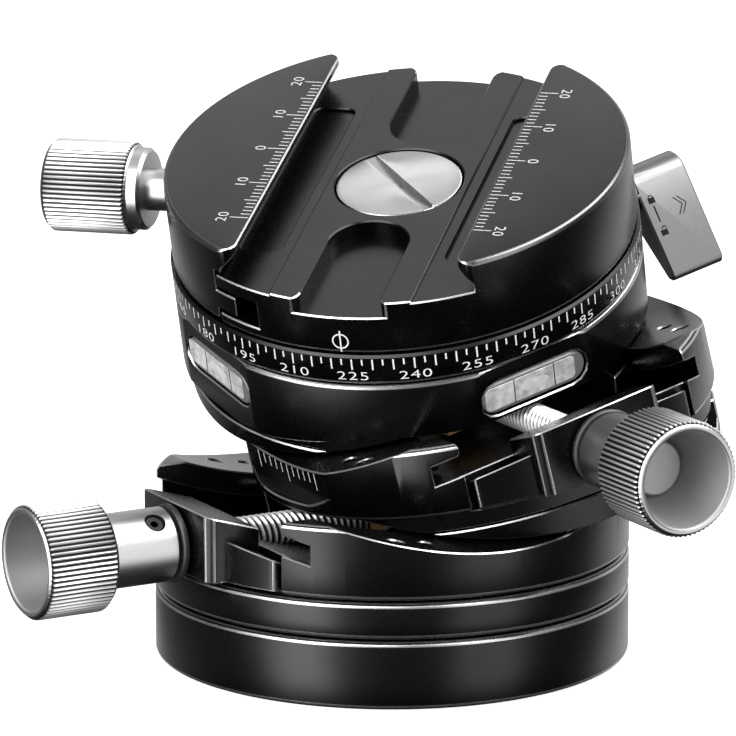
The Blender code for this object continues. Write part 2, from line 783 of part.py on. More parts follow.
def on_worm(stage, bm):
    """Turns a shape on the worm's axis to the angle that meshes at rest, and sets it at the worm's height."""
    moved(bm, Matrix.Rotation(stage.worm_angle, 4, "X"))
    moved(bm, Matrix.Translation((0, 0, stage.worm_z)))
    return stage.level(bm)


def thrust_ring(stage):
    end = THRUST_START + THRUST_T
    ring = revolve(
        [
            (JOURNAL_R + GAP, THRUST_START),
            (THRUST_R, THRUST_START),
            (THRUST_R, end),
            (JOURNAL_R + GAP, end),
        ],
        MEDIUM_SIDES,
    )
    moved(ring, Matrix.Rotation(-math.pi / 2, 4, "Y"))
    moved(ring, Matrix.Translation((0, 0, stage.worm_z)))
    return stage.level(ring)


def end_bearing(stage):
    """The small bronze block that holds the worm's tail, in the end of the trench."""
    start = WORM_BACK + GAP
    width = (-END_BEARING_HALF, END_BEARING_HALF)
    block = box((start, start + END_BEARING_T), width, (stage.bottom, stage.bottom + END_BEARING_RISE))
    block = combine(block, [drum(stage.centre, GROOVE_OUT_R - GAP, *width)], "INTERSECT")
    bore = rod(TAIL_R + GAP, start - OVERRUN, start + END_BEARING_T + OVERRUN, "x", (0, stage.worm_z))
    return stage.level(combine(block, [bore]))


def cradle_half(stage, side, high):
    """Half of the cradle: a half-moon that rides over one rail, with a leg and a flange in the rail's groove."""
    low = stage.bottom - PLATE_H
    under_r = SWING_R - CRADLE_CLEAR
    leg_out = CHANNEL_HALF - FLANGE_CLEAR
    flange_out = GROOVE_HALF - FLANGE_CLEAR
    leg_r = GROOVE_OUT_R - FLANGE_CLEAR
    disc = revolve([(0, low), (CRADLE_R, low), (CRADLE_R, high), (0, high)])
    leg = sorted((side * (leg_out - CRADLE_LEG_T), side * leg_out))
    flange = sorted((side * leg_out, side * flange_out))
    tier = sorted((side * CRADLE_INNER, side * (CRADLE_R + OVERRUN)))
    kept_leg = drum(stage.centre, leg_r, *leg)
    kept_flange = arc_band(stage.centre, GROOVE_IN_R + FLANGE_CLEAR, leg_r, flange[0] - GAP, flange[1] + GAP)
    kept_flange = combine(kept_flange, [drum(stage.centre, leg_r + OVERRUN, *flange)], "INTERSECT")
    kept = combine(drum(stage.centre, under_r, *tier), [kept_leg, kept_flange], "UNION")
    return stage.level(combine(disc, [kept], "INTERSECT"))


def toothed_slot(stage):
    """The slot down the rack's middle, whose roof is cut into slanting teeth."""
    bm = bmesh.new()
    step = THREAD_PITCH / 2 / PITCH_R
    count = int(math.radians(RACK_TEETH_SPAN) / step)
    lean = RACK_SLOT_HALF * THREAD_LEAD / (2 * math.pi * (WORM_R - TOOTH_DEPTH / 2)) / PITCH_R
    deep = GROOVE_OUT_R + OVERRUN
    end = math.asin(ARC_REACH / deep)
    spots = [(-end, TOOTH_ROOT_R)]
    for number in range(-count, count + 1):
        spots.append((number * step, TOOTH_ROOT_R if number % 2 == 0 else TOOTH_TIP_R))
    spots.append((end, TOOTH_ROOT_R))
    rings = []
    for angle, roof in spots:
        ring = []
        for side, radius in ((-1, roof), (1, roof), (1, deep), (-1, deep)):
            a = angle - side * lean
            place = (radius * math.sin(a), side * RACK_SLOT_HALF, stage.centre - radius * math.cos(a))
            ring.append(bm.verts.new(place))
        rings.append(ring)
    for first, second in zip(rings, rings[1:]):
        join_rings(bm, first, second)
    bm.faces.new(rings[0])
    bm.faces.new(reversed(rings[-1]))
    bmesh.ops.triangulate(bm, faces=bm.faces)
    return closed(bm)


def rack(stage):
    """The brass segment, with a slot for the worm and its teeth in the slot's roof."""
    length = (-RACK_HALF_L, RACK_HALF_L)
    block = box(length, (-RACK_HALF, RACK_HALF), (stage.bottom, stage.bottom + RACK_TOP_RISE))
    block = combine(block, [drum(stage.centre, RACK_LOW_R, *length)], "INTERSECT")
    return stage.level(combine(block, [toothed_slot(stage)]))


def rack_seat(stage):
    """The pocket that the rack's flat top sits in."""
    length = RACK_HALF_L + GAP
    width = RACK_HALF + GAP
    seat = box((-length, length), (-width, width), (stage.bottom, stage.bottom + RACK_TOP_RISE + GAP))
    return stage.level(seat)


def build_stage(stage, fixed, fixed_about, swung, swung_about, cradle_top):
    """All of a stage's pieces but its frame. The cradle reaches up to cradle_top."""
    name = stage.name
    piece(f"{name}_worm_carrier", worm_carrier(stage), "black_anodised", fixed, fixed_about)
    for word, side in (("left", -1), ("right", 1)):
        piece(f"{name}_carrier_screw_{word}", carrier_screw(stage, side), "steel", fixed, fixed_about)
        half = cradle_half(stage, side, cradle_top)
        piece(f"{name}_cradle_{word}", half, "black_anodised", swung, swung_about)
    piece(f"{name}_rack", rack(stage), "brass", swung, swung_about)
    piece(f"{name}_thrust_ring", thrust_ring(stage), "black_nylon", fixed, fixed_about)
    piece(f"{name}_end_bearing", end_bearing(stage), "brass", fixed, fixed_about)
    rail_screws(stage, fixed, fixed_about)
    axis_about = stage.turn @ Vector((0, 0, stage.worm_z))
    spin = bpy.data.objects.new(f"{name}_knob_axis", None)
    bpy.context.scene.collection.objects.link(spin)
    spin.parent = fixed
    spin.location = axis_about - Vector(fixed_about)
    piece(f"{name}_worm", on_worm(stage, worm()), "steel", spin, axis_about)
    knob = along_worm(worm_knob(stage))
    piece(f"{name}_knob", on_worm(stage, knob), "silver_anodised", spin, axis_about)
    grub = along_worm(set_screw())
    piece(f"{name}_set_screw", on_worm(stage, grub), "steel", spin, axis_about)


def base_screw_spots():
    return [
        (BASE_SCREW_CIRCLE_R * math.cos(a), BASE_SCREW_CIRCLE_R * math.sin(a))
        for a in turns(BASE_SCREWS, math.radians(BASE_SCREW_START))
    ]


def base_plate():
    """The bottom disc: a bushed socket, and four screws from below."""
    body = revolve(
        [
            (SOCKET_R, 0),
            (BODY_R - EDGE, 0),
            (BODY_R, EDGE),
            (BODY_R, BASE_H - EDGE),
            (BODY_R - EDGE, BASE_H),
            (SOCKET_R, BASE_H),
        ]
    )
    wide = BUSH_FLANGE_R + GAP
    step = BUSH_FLANGE_H + GAP
    tools = [stepped_rod(wide, BUSH_R + GAP, -OVERRUN, step, BASE_H + OVERRUN, sides=MEDIUM_SIDES)]
    wide = BASE_SCREW_HEAD_R + GAP
    step = BASE_SCREW_RECESS + BASE_SCREW_HEAD_H + GAP
    for spot in base_screw_spots():
        tools.append(stepped_rod(wide, BASE_SCREW_R + GAP, -OVERRUN, step, BASE_H + OVERRUN, centre=spot))
    return combine(body, tools)


def middle_ring():
    low = BASE_H + SEAM
    high = low + RING_H
    seat = high + SEAM - PLATE_H - GAP
    body = revolve(
        [
            (RING_BORE_R, low),
            (BODY_R - EDGE, low),
            (BODY_R, low + EDGE),
            (BODY_R, high - EDGE),
            (BODY_R - EDGE, high),
            (LOWER_PLATE_R + GAP, high),
            (LOWER_PLATE_R + GAP, seat),
            (RING_BORE_R, seat),
        ]
    )
    return combine(body, [rod(BASE_SCREW_R + GAP, 0, high + OVERRUN, centre=spot) for spot in base_screw_spots()])


def socket_bush():
    """The steel bush in the middle of the base, for the stud of a tripod."""
    return revolve(
        [
            (SOCKET_R, 0),
            (BUSH_FLANGE_R, 0),
            (BUSH_FLANGE_R, BUSH_FLANGE_H),
            (BUSH_R, BUSH_FLANGE_H),
            (BUSH_R, BUSH_H),
            (SOCKET_R, BUSH_H),
        ],
        MEDIUM_SIDES,
    )


def base_screw(spot):
    low = BASE_SCREW_RECESS
    head = low + BASE_SCREW_HEAD_H
    top = LOWER_STAGE_Z - PLATE_H + BASE_SCREW_BITE
    screw = stepped_rod(BASE_SCREW_HEAD_R, BASE_SCREW_R, low, head, top)
    screw = combine(screw, [rod(HEX_KEY_R, low - OVERRUN, low + HEX_KEY_DEPTH, sides=HEX)])
    return moved(screw, Matrix.Translation((*spot, 0)))


def mid_frame(stage, lower):
    """The upper stage's frame, with the scale's facet and the arched clearance over the lower rails."""
    frame = tilt_frame(stage)
    reach = BODY_R + OVERRUN
    facet = BODY_R - FACET_DEPTH
    low = stage.bottom
    scoop = prism(
        [
            (-reach, low + FACET_STEP_RISE),
            (-facet - FACET_STEP, low + FACET_STEP_RISE),
            (-facet, low + FACET_LOW_RISE),
            (-facet, stage.centre),
            (-reach, stage.centre),
        ],
        -BLOCK_HALF - OVERRUN,
        BLOCK_HALF + OVERRUN,
        "xz",
    )
    under_r = SWING_R - CRADLE_CLEAR
    plate_cut = arc_band(lower.centre, under_r, GROOVE_OUT_R + OVERRUN, -reach, reach)
    below = box((-reach, reach), (-reach, reach), (low - PLATE_H - OVERRUN, low - GAP / 10))
    plate_cut = combine(plate_cut, [below], "INTERSECT")
    return combine(frame, [scoop, plate_cut, rack_seat(lower)])


def pan_housing(stage):
    """The drum under the clamp: vial facets, radial lock bore, hub for the degree ring."""
    low = PAN_LOW_Z - OVERRUN
    top = RING_LOW - SEAM
    flange_room = SHAFT_FLANGE_R + GAP
    flange_top = SHAFT_FLANGE_LOW + SHAFT_FLANGE_H + GAP
    body = revolve(
        [
            (flange_room, low),
            (BODY_R, low),
            (BODY_R, top - RING_CHAMFER),
            (BODY_R - RING_CHAMFER, top),
            (RING_SEAT_R - GAP, top),
            (RING_SEAT_R - GAP, HUB_TOP),
            (SHAFT_R + GAP, HUB_TOP),
            (SHAFT_R + GAP, flange_top),
            (flange_room, flange_top),
        ]
    )
    reach = BODY_R + OVERRUN
    arc = drum(PAN_LOW_Z + GAP / 2 + PAN_ARC_R, PAN_ARC_R, -reach, reach)
    above = box((-reach, reach), (-reach, reach), (PAN_LOW_Z + PAN_ARC_RISE, HUB_TOP + OVERRUN))
    body = combine(body, [stage.level(combine(arc, [above], "UNION"))], "INTERSECT")
    plate_top = PAN_LOW_Z + PAN_PLATE_H
    plate = revolve(
        [
            (flange_room, PAN_LOW_Z),
            (CRADLE_R, PAN_LOW_Z),
            (CRADLE_R, plate_top),
            (flange_room, plate_top),
        ]
    )
    under = drum(stage.centre, SWING_R - CRADLE_CLEAR, -reach, reach)
    plate = combine(plate, [stage.level(under)], "INTERSECT")
    body = combine(body, [plate], "UNION")
    tools = [
        rack_seat(stage),
        box((-reach, -PAN_FACET), (-reach, reach), (low - OVERRUN, top + GAP / 10)),
        box((-reach, reach), (-reach, -PAN_FACET), (low - OVERRUN, top + GAP / 10)),
        vial("front", GAP),
        vial("side", GAP),
        rod(SPINDLE_R + GAP, 0, reach, "x", (0, LEVER_Z)),
    ]
    return combine(body, tools)


def stadium(length, width, steps=6):
    """A slot shape with round ends, along X, about the origin."""
    half = (length - width) / 2
    points = []
    for end in (1, -1):
        for step in range(steps + 1):
            angle = -math.pi / 2 * end + math.pi * step / steps
            points.append((end * half + width / 2 * math.cos(angle), width / 2 * math.sin(angle)))
    return points


def vial(place, clearance=0.0):
    """A bubble vial in its facet, or with a clearance the pocket for it."""
    outline = stadium(VIAL_L + 2 * clearance, VIAL_W + 2 * clearance)
    front = PAN_FACET - VIAL_SINK
    back = front - VIAL_T - clearance
    if clearance:
        front = BODY_R + OVERRUN
    if place == "front":
        return prism([(x, VIAL_Z + z) for x, z in outline], -front, -back, "xz")
    return prism([(y, VIAL_Z + z) for y, z in outline], -front, -back, "yz")


def degree_ring():
    low = RING_LOW
    high = RING_LOW + RING_TALL
    return revolve(
        [
            (RING_SEAT_R, low),
            (BODY_R - RING_CHAMFER, low),
            (BODY_R, low + RING_CHAMFER),
            (BODY_R, high - RING_CHAMFER),
            (BODY_R - RING_CHAMFER, high),
            (RING_SEAT_R, high),
        ]
    )


def pan_shaft():
    """The spindle that turns with the clamp, held down by its flange under the hub."""
    top = CLAMP_LOW - GAP
    bore_low = top - SCREW_BITE - GAP
    return revolve(
        [
            (0, SHAFT_FLANGE_LOW),
            (SHAFT_FLANGE_R, SHAFT_FLANGE_LOW),
            (SHAFT_FLANGE_R, SHAFT_FLANGE_LOW + SHAFT_FLANGE_H),
            (SHAFT_R, SHAFT_FLANGE_LOW + SHAFT_FLANGE_H),
            (SHAFT_R, top),
            (SCREW_SHANK_R + GAP, top),
            (SCREW_SHANK_R + GAP, bore_low),
            (0, bore_low),
        ],
        MEDIUM_SIDES,
    )


def pan_bearing():
    low = HUB_TOP + GAP
    return revolve(
        [
            (BEARING_IN_R, low),
            (BEARING_OUT_R, low),
            (BEARING_OUT_R, low + BEARING_T),
            (BEARING_IN_R, low + BEARING_T),
        ],
        MEDIUM_SIDES,
    )


def teardrop(centre, big_r, small_r, length, angle, steps=6):
    """The outline round two circles: the small one lies length away, at angle from straight down towards -Y."""
    toward = math.atan2(-math.cos(angle), -math.sin(angle))
    side = math.acos((big_r - small_r) / length)
    points = []
    for step in range(2 * steps + 1):
        a = toward + side + (2 * math.pi - 2 * side) * step / (2 * steps)
        points.append((centre[0] + big_r * math.cos(a), centre[1] + big_r * math.sin(a)))
    tip = (centre[0] + length * math.cos(toward), centre[1] + length * math.sin(toward))
    for step in range(steps + 1):
        a = toward - side + 2 * side * step / steps
        points.append((tip[0] + small_r * math.cos(a), tip[1] + small_r * math.sin(a)))
    return points


def lock_lever():
    """The paddle of the pan lock, with the boss that reaches in to the housing."""
    outline = teardrop((0, LEVER_Z), LEVER_R, LEVER_TIP_R, LEVER_L, math.radians(LEVER_HANG))
    blade = prism(outline, LEVER_IN, LEVER_OUT, "yz")
    boss = rod(LEVER_BOSS_R, BODY_R + GAP, LEVER_IN + GAP, "x", (0, LEVER_Z), MEDIUM_SIDES)
    bore = rod(SPINDLE_R + GAP, BODY_R - OVERRUN, LEVER_IN + SPINDLE_BITE + GAP, "x", (0, LEVER_Z))
    return combine(combine(blade, [boss], "UNION"), [bore])


def lock_spindle():
    start = SHAFT_R + GAP + SHOE_L + GAP
    return rod(SPINDLE_R, start, LEVER_IN + SPINDLE_BITE, "x", (0, LEVER_Z))


def brake_shoe():
    start = SHAFT_R + GAP
    shoe = rod(SHOE_R, start - GAP, start + SHOE_L, "x", (0, LEVER_Z))
    return combine(shoe, [rod(start, LEVER_Z - SHOE_L, LEVER_Z + SHOE_L, sides=MEDIUM_SIDES)])


def clamp_disc(low, high):
    return revolve(
        [
            (0, low),
            (CLAMP_R, low),
            (CLAMP_R, high - CLAMP_EDGE),
            (CLAMP_R - CLAMP_EDGE, high),
            (0, high),
        ]
    )


def jaw_channel(left_limit):
    """What is cut out above the deck: dovetail walls, open to both ends."""
    reach = CLAMP_R + OVERRUN
    slope_low = DECK + JAW_ROOT_H
    slope_high = JAW_TOP - JAW_LIP_H
    right = [
        (JAW_ROOT, DECK),
        (JAW_ROOT, slope_low),
        (JAW_LIP, slope_high),
        (JAW_LIP, JAW_TOP + OVERRUN),
    ]
    return prism([(left_limit, JAW_TOP + OVERRUN), (left_limit, DECK), *right], -reach, reach, "xz")


def clamp_body():
    """The clamp's deck and its fixed jaw, with pockets, windows, the screw's seat and the jaw drive's bores."""
    reach = CLAMP_R + OVERRUN
    floor = DECK - POCKET_DEPTH
    high = DECK + OVERRUN
    steps = [math.pi * step / 8 for step in range(9)]
    tools = [
        jaw_channel(-SPLIT - OVERRUN),
        box((-reach, -SPLIT), (-reach, reach), (CLAMP_LOW - OVERRUN, JAW_TOP + OVERRUN)),
    ]
    centre = POCKET_START + POCKET_HALF
    for end in (-1, 1):
        arch = [(POCKET_HALF * math.cos(a), end * (centre - POCKET_HALF * math.sin(a))) for a in steps]
        tools.append(prism([*arch, (-POCKET_HALF, end * reach), (POCKET_HALF, end * reach)], floor, high))
    width = JAW_ROOT - GAP - RECESS_NEAR
    middle = (JAW_ROOT - GAP + RECESS_NEAR) / 2
    for side in (-1, 1):
        outline = [(side * middle + y, x) for x, y in stadium(2 * RECESS_HALF_L, width)]
        tools.append(prism(outline, DECK - RECESS_DEPTH, high))
    tools += [
        stepped_rod(
            SCREW_HEAD_R + GAP,
            SCREW_SHANK_R + GAP,
            high,
            DECK - SCREW_HEAD_H - GAP,
            CLAMP_LOW - OVERRUN,
            sides=MEDIUM_SIDES,
        ),
        rod(DRIVE_R + GAP, -SPLIT - OVERRUN, GAP - DRIVE_END, "x", (0, DRIVE_Z)),
    ]
    for end in (-1, 1):
        near, far = sorted((end * WINDOW_INNER, end * reach))
        tools.append(box((-reach, -WINDOW_END), (near, far), (WINDOW_LOW, WINDOW_HIGH)))
        tools.append(rod(PIN_R + GAP, -SPLIT - OVERRUN, GAP - PIN_BODY_END, "x", (end * PIN_OUT, PIN_Z)))
    return combine(clamp_disc(CLAMP_LOW, JAW_TOP), tools)


def moving_jaw():
    """The jaw that slides along -X: a full-height D with a lip over the deck and two tabs in the windows."""
    reach = CLAMP_R + OVERRUN
    face = SPLIT + GAP
    slope_low = DECK + JAW_ROOT_H
    slope_high = JAW_TOP - JAW_LIP_H
    section = [
        (-reach, CLAMP_LOW + GAP),
        (-face, CLAMP_LOW + GAP),
        (-face, DECK + GAP),
        (-JAW_ROOT, DECK + GAP),
        (-JAW_ROOT, slope_low),
        (-JAW_LIP, slope_high),
        (-JAW_LIP, JAW_TOP),
        (-reach, JAW_TOP),
    ]
    shape = prism(section, -reach, reach, "xz")
    tab_low = WINDOW_LOW + GAP + GAP
    tab_high = WINDOW_HIGH - GAP - GAP
    tabs = []
    for end in (-1, 1):
        near, far = sorted((end * (WINDOW_INNER + GAP), end * reach))
        tabs.append(box((-face - OVERRUN, -TAB_END), (near, far), (tab_low, tab_high)))
    shape = combine(shape, tabs, "UNION")
    jaw = combine(clamp_disc(CLAMP_LOW + GAP, JAW_TOP), [shape], "INTERSECT")
    tools = [rod(DRIVE_R + GAP, -reach, OVERRUN - SPLIT, "x", (0, DRIVE_Z))]
    for end in (-1, 1):
        place = (end * PIN_OUT, PIN_Z)
        seat = face + SPRING_SEAT_DEPTH
        start = OVERRUN - SPLIT
        tools.append(stepped_rod(SPRING_SEAT_R, PIN_R + GAP, start, -seat, -PIN_JAW_END - GAP, "x", place))
    return combine(jaw, tools)


def centre_screw():
    """The big slotted screw that holds the clamp to the shaft."""
    head_low = DECK - SCREW_HEAD_H
    low = CLAMP_LOW - GAP - SCREW_BITE
    screw = revolve(
        [
            (0, low),
            (SCREW_SHANK_R, low),
            (SCREW_SHANK_R, head_low),
            (SCREW_HEAD_R, head_low),
            (SCREW_HEAD_R, DECK - EDGE / 2),
            (SCREW_HEAD_R - EDGE, DECK),
            (0, DECK),
        ],
        MEDIUM_SIDES,
    )
    reach = SCREW_HEAD_R + OVERRUN
    slot = box((-reach, reach), (-SLOT_W / 2, SLOT_W / 2), (DECK - SLOT_DEPTH, DECK + OVERRUN))
    moved(slot, Matrix.Rotation(math.radians(SLOT_TURN), 4, "Z"))
    return combine(screw, [slot])


def clamp_knob():
    """The jaw's knob about Z, its neck at zero, to be laid along the clamp's -X."""
    back = CLAMP_KNOB_IN - CLAMP_NECK_IN
    front = CLAMP_KNOB_OUT - CLAMP_NECK_IN
    inner = [
        (0, front),
        (0, CLAMP_BORE_DEPTH),
        (DRIVE_R + GAP, CLAMP_BORE_DEPTH),
        (DRIVE_R + GAP, 0),
        (CLAMP_NECK_R, 0),
        (CLAMP_NECK_R, back - CLAMP_COLLAR_T),
        (CLAMP_COLLAR_R - EDGE, back - CLAMP_COLLAR_T),
        (CLAMP_COLLAR_R, back - CLAMP_COLLAR_T + EDGE),
        (CLAMP_COLLAR_R, back),
    ]
    knob = fluted_knob(CLAMP_KNOB_R, back, front, CLAMP_KNOB_FLUTES, KNOB_CHAMFER, inner)
    return along_drive(knob, CLAMP_NECK_IN)


def along_drive(bm, start):
    """From a shape about +Z with its back at zero to one that points along the clamp's -X from start."""
    moved(bm, Matrix.Rotation(-math.pi / 2, 4, "Y"))
    return moved(bm, Matrix.Translation((-start, 0, DRIVE_Z)))


def clamp_screw():
    return rod(DRIVE_R, GAP - CLAMP_NECK_IN - CLAMP_BORE_DEPTH, -DRIVE_END, "x", (0, DRIVE_Z))


def guide_pin(end):
    return rod(PIN_R, -PIN_JAW_END, -PIN_BODY_END, "x", (end * PIN_OUT, PIN_Z))


def jaw_spring(end):
    """A helical spring round its guide pin, in the jaw's seat."""
    curve = bpy.data.curves.new("spring", "CURVE")
    curve.dimensions = "3D"
    curve.bevel_depth = SPRING_WIRE_R
    curve.bevel_resolution = 0
    curve.use_fill_caps = True
    start = SPLIT + GAP + SPRING_WIRE_R
    length = SPRING_SEAT_DEPTH - GAP - 2 * SPRING_WIRE_R
    count = round(SPRING_TURNS * SPRING_POINTS_PER_TURN)
    spline = curve.splines.new("POLY")
    spline.points.add(count)
    for number, point in enumerate(spline.points):
        angle = 2 * math.pi * number / SPRING_POINTS_PER_TURN
        along = -start - length * number / count
        y = end * PIN_OUT + SPRING_R * math.cos(angle)
        z = PIN_Z + SPRING_R * math.sin(angle)
        point.co = (along, y, z, 1)
    item = bpy.data.objects.new("spring", curve)
    bpy.context.scene.collection.objects.link(item)
    bpy.context.view_layer.update()
    evaluated = item.evaluated_get(bpy.context.evaluated_depsgraph_get())
    bm = bmesh.new()
    bm.from_mesh(evaluated.to_mesh())
    evaluated.to_mesh_clear()
    bpy.data.objects.remove(item, do_unlink=True)
    bmesh.ops.remove_doubles(bm, verts=bm.verts, dist=GAP / 100)
    return closed(bm)


def empty(name, parent, location, rotation=(0, 0, 0)):
    item = bpy.data.objects.new(name, None)
    bpy.context.scene.collection.objects.link(item)
    item.parent = parent
    item.location = location
    item.rotation_euler = rotation
    return item


def build_base(lower):
    piece("base_plate", base_plate(), "black_anodised")
    piece("tripod_socket_bush", socket_bush(), "steel")
    piece("middle_ring", middle_ring(), "black_anodised")
    spots = base_screw_spots()
    for number, spot in enumerate(spots, start=1):
        piece(f"base_screw_{number}", base_screw(spot), "steel")
    holes = [
        rod(BASE_SCREW_R + GAP, 0, LOWER_STAGE_Z - PLATE_H + BASE_SCREW_BITE + GAP, centre=spot) for spot in spots
    ]
    piece("lower_frame", combine(tilt_frame(lower), holes), "black_anodised")


def build_pan(upper, parent, about):
    piece("pan_housing", pan_housing(upper), "black_anodised", parent, about)
    piece("degree_ring", degree_ring(), "black_anodised", parent, about)
    piece("front_vial", vial("front"), "vial", parent, about)
    piece("side_vial", vial("side"), "vial", parent, about)
    piece("pan_bearing", pan_bearing(), "brass", parent, about)
    piece("pan_brake_shoe", brake_shoe(), "brass", parent, about)
    place = Vector((0, 0, LEVER_Z))
    axis = empty("pan_lock_axis", parent, place - Vector(about))
    piece("pan_lock_lever", lock_lever(), "brushed_lever", axis, place)
    piece("pan_lock_spindle", lock_spindle(), "steel", axis, place)


def build_clamp(parent, about):
    piece("clamp_body", clamp_body(), "black_anodised", parent, about)
    piece("pan_shaft", pan_shaft(), "steel", parent, about)
    piece("centre_screw", centre_screw(), "steel", parent, about)
    for word, end in (("front", -1), ("back", 1)):
        piece(f"jaw_guide_pin_{word}", guide_pin(end), "steel", parent, about)
        piece(f"jaw_spring_{word}", jaw_spring(end), "steel", parent, about)
    slide = empty("jaw_slide", parent, -Vector(about))
    piece("moving_jaw", moving_jaw(), "black_anodised", slide)
    place = Vector((0, 0, DRIVE_Z))
    axis = empty("clamp_knob_axis", slide, place)
    piece("clamp_knob", clamp_knob(), "silver_anodised", axis, place)
    piece("clamp_screw", clamp_screw(), "steel", axis, place)


def main():
    clear_scene()
    lower = Stage("lower", LOWER_STAGE_Z, LOWER_PLATE_R, LOWER_NECK_L, 0, LOWER_TILT)
    upper = Stage("upper", UPPER_STAGE_Z, UPPER_PLATE_R, UPPER_NECK_L, 1, UPPER_TILT)
    origin = (0, 0, 0)
    lower_pivot = (0, 0, lower.centre)
    upper_pivot = (0, 0, upper.centre)
    lower_swing = empty("lower_tilt", None, lower_pivot, (0, math.radians(LOWER_TILT), 0))
    rise = (0, 0, upper.centre - lower.centre)
    upper_swing = empty("upper_tilt", lower_swing, rise, (-math.radians(UPPER_TILT), 0, 0))
    turntable = empty("pan", upper_swing, (0, 0, -upper.centre), (0, 0, math.radians(CLAMP_TURN)))
    build_base(lower)
    build_stage(lower, None, origin, lower_swing, lower_pivot, UPPER_STAGE_Z - PLATE_H - GAP)
    piece("mid_frame", mid_frame(upper, lower), "black_anodised", lower_swing, lower_pivot)
    build_stage(upper, lower_swing, lower_pivot, upper_swing, upper_pivot, PAN_LOW_Z - GAP)
    build_pan(upper, upper_swing, upper_pivot)
    build_clamp(turntable, origin)


main()
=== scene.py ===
"""The looks of a panoramic tripod head: finer pieces over its solids, their marks, materials and a studio."""

import math

import bmesh
import bpy
from mathutils import Matrix, Vector


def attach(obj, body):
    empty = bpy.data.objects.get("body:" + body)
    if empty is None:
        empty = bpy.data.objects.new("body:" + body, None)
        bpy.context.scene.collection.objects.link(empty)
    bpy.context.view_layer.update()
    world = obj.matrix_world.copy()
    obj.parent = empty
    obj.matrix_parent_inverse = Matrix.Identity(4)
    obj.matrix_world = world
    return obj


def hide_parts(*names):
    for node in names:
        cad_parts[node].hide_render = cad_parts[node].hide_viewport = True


MM = 0.001

# Rest pose, in degrees, and how finely round things are cut
LOWER_TILT = -14.4
UPPER_TILT = -13.2
CLAMP_TURN = -47.3
SIDES = 144
MEDIUM_SIDES = 64
SMALL_SIDES = 32
ARC_STEPS = 48

# Gaps, overruns and quarter turns
GAP = 0.3 * MM
SEAM = 0.35 * MM
QUARTER_Y = Matrix.Rotation(math.pi / 2, 4, "Y")
QUARTER_BACK = Matrix.Rotation(-math.pi / 2, 4, "Y")
OVERRUN = 2.0 * MM

# The turned body and its base
BODY_R = 35.0 * MM
REACH = BODY_R + OVERRUN
EDGE = 0.5 * MM
BASE_H = 10.05 * MM
RING_H = 5.35 * MM
RING_BORE_R = BODY_R - 14.0 * MM
SOCKET_R = 4.35 * MM
BUSH_R = SOCKET_R + 3.15 * MM
BUSH_FLANGE_R = BUSH_R + 2.5 * MM
BUSH_FLANGE_H = 1.5 * MM
BUSH_H = BASE_H - 0.65 * MM
BASE_SCREWS = 4
BASE_SCREW_START = 45.0
BASE_SCREW_CIRCLE_R = BODY_R - 8.5 * MM
BASE_SCREW_R = 1.5 * MM
BASE_SCREW_HEAD_R = BASE_SCREW_R + 1.25 * MM
BASE_SCREW_HEAD_H = 2.6 * MM
BASE_SCREW_RECESS = 0.5 * MM
BASE_SCREW_BITE = 1.4 * MM
BUSH_PITCH = 1.27 * MM
HEX = 6
HEX_KEY_R = 1.4 * MM
HEX_KEY_DEPTH = 1.4 * MM

# One tilt stage, measured from the stage's bottom edge
STAGE_PITCH = 13.95 * MM
PLATE_H = 2.6 * MM
LOWER_PLATE_R = BODY_R - 2.0 * MM
UPPER_PLATE_R = BODY_R - 0.8 * MM
RAIL_RISE = 6.4 * MM
LAND_RISE = STAGE_PITCH - PLATE_H - 0.7 * MM
SWING_R = 70.5 * MM
CHANNEL_HALF = BODY_R - 15.7 * MM
GROOVE_HALF = CHANNEL_HALF + 3.6 * MM
GROOVE_IN_R = SWING_R + 3.5 * MM
GROOVE_OUT_R = GROOVE_IN_R + 2.8 * MM
TRENCH_HALF = 3.3 * MM
TRENCH_FLOOR_RISE = 1.3 * MM
FACET_DEPTH = 2.1 * MM
FACET_STEP_RISE = 1.7 * MM
FACET_LOW_RISE = FACET_STEP_RISE + 1.6 * MM
FACET_STEP = 1.3 * MM

# Rail screws and oil holes, on the tops of the rails
RAIL_SCREW_ALONG = 15.0 * MM
RAIL_HOLE_ALONG = RAIL_SCREW_ALONG - 4.8 * MM
RAIL_SCREW_OUT = BODY_R - 7.4 * MM
RAIL_SCREW_R = 1.0 * MM
RAIL_SCREW_H = 2.2 * MM
RAIL_HOLE_DEPTH = 2.8 * MM

# Worm carrier
CARRIER_REACH = BODY_R + 1.2 * MM
CARRIER_REAR = CARRIER_REACH - 8.4 * MM
BLOCK_HALF = 10.5 * MM
BLOCK_CORNER = 1.0 * MM
BLOCK_TOP_R = SWING_R + 4.1 * MM
ARM_HALF = CHANNEL_HALF - 1.0 * MM
ARM_TOP_R = SWING_R + 7.4 * MM
ARM_INSET = 0.1 * MM
CARRIER_SCREW_BACK = CARRIER_REAR + 2.0 * MM
CARRIER_SCREW_SIDE = 6.8 * MM
CARRIER_SCREW_R = 1.0 * MM
CARRIER_SCREW_HEAD_R = CARRIER_SCREW_R + 0.6 * MM
CARRIER_SCREW_HEAD_H = 1.2 * MM
CARRIER_SCREW_BITE = 2.6 * MM

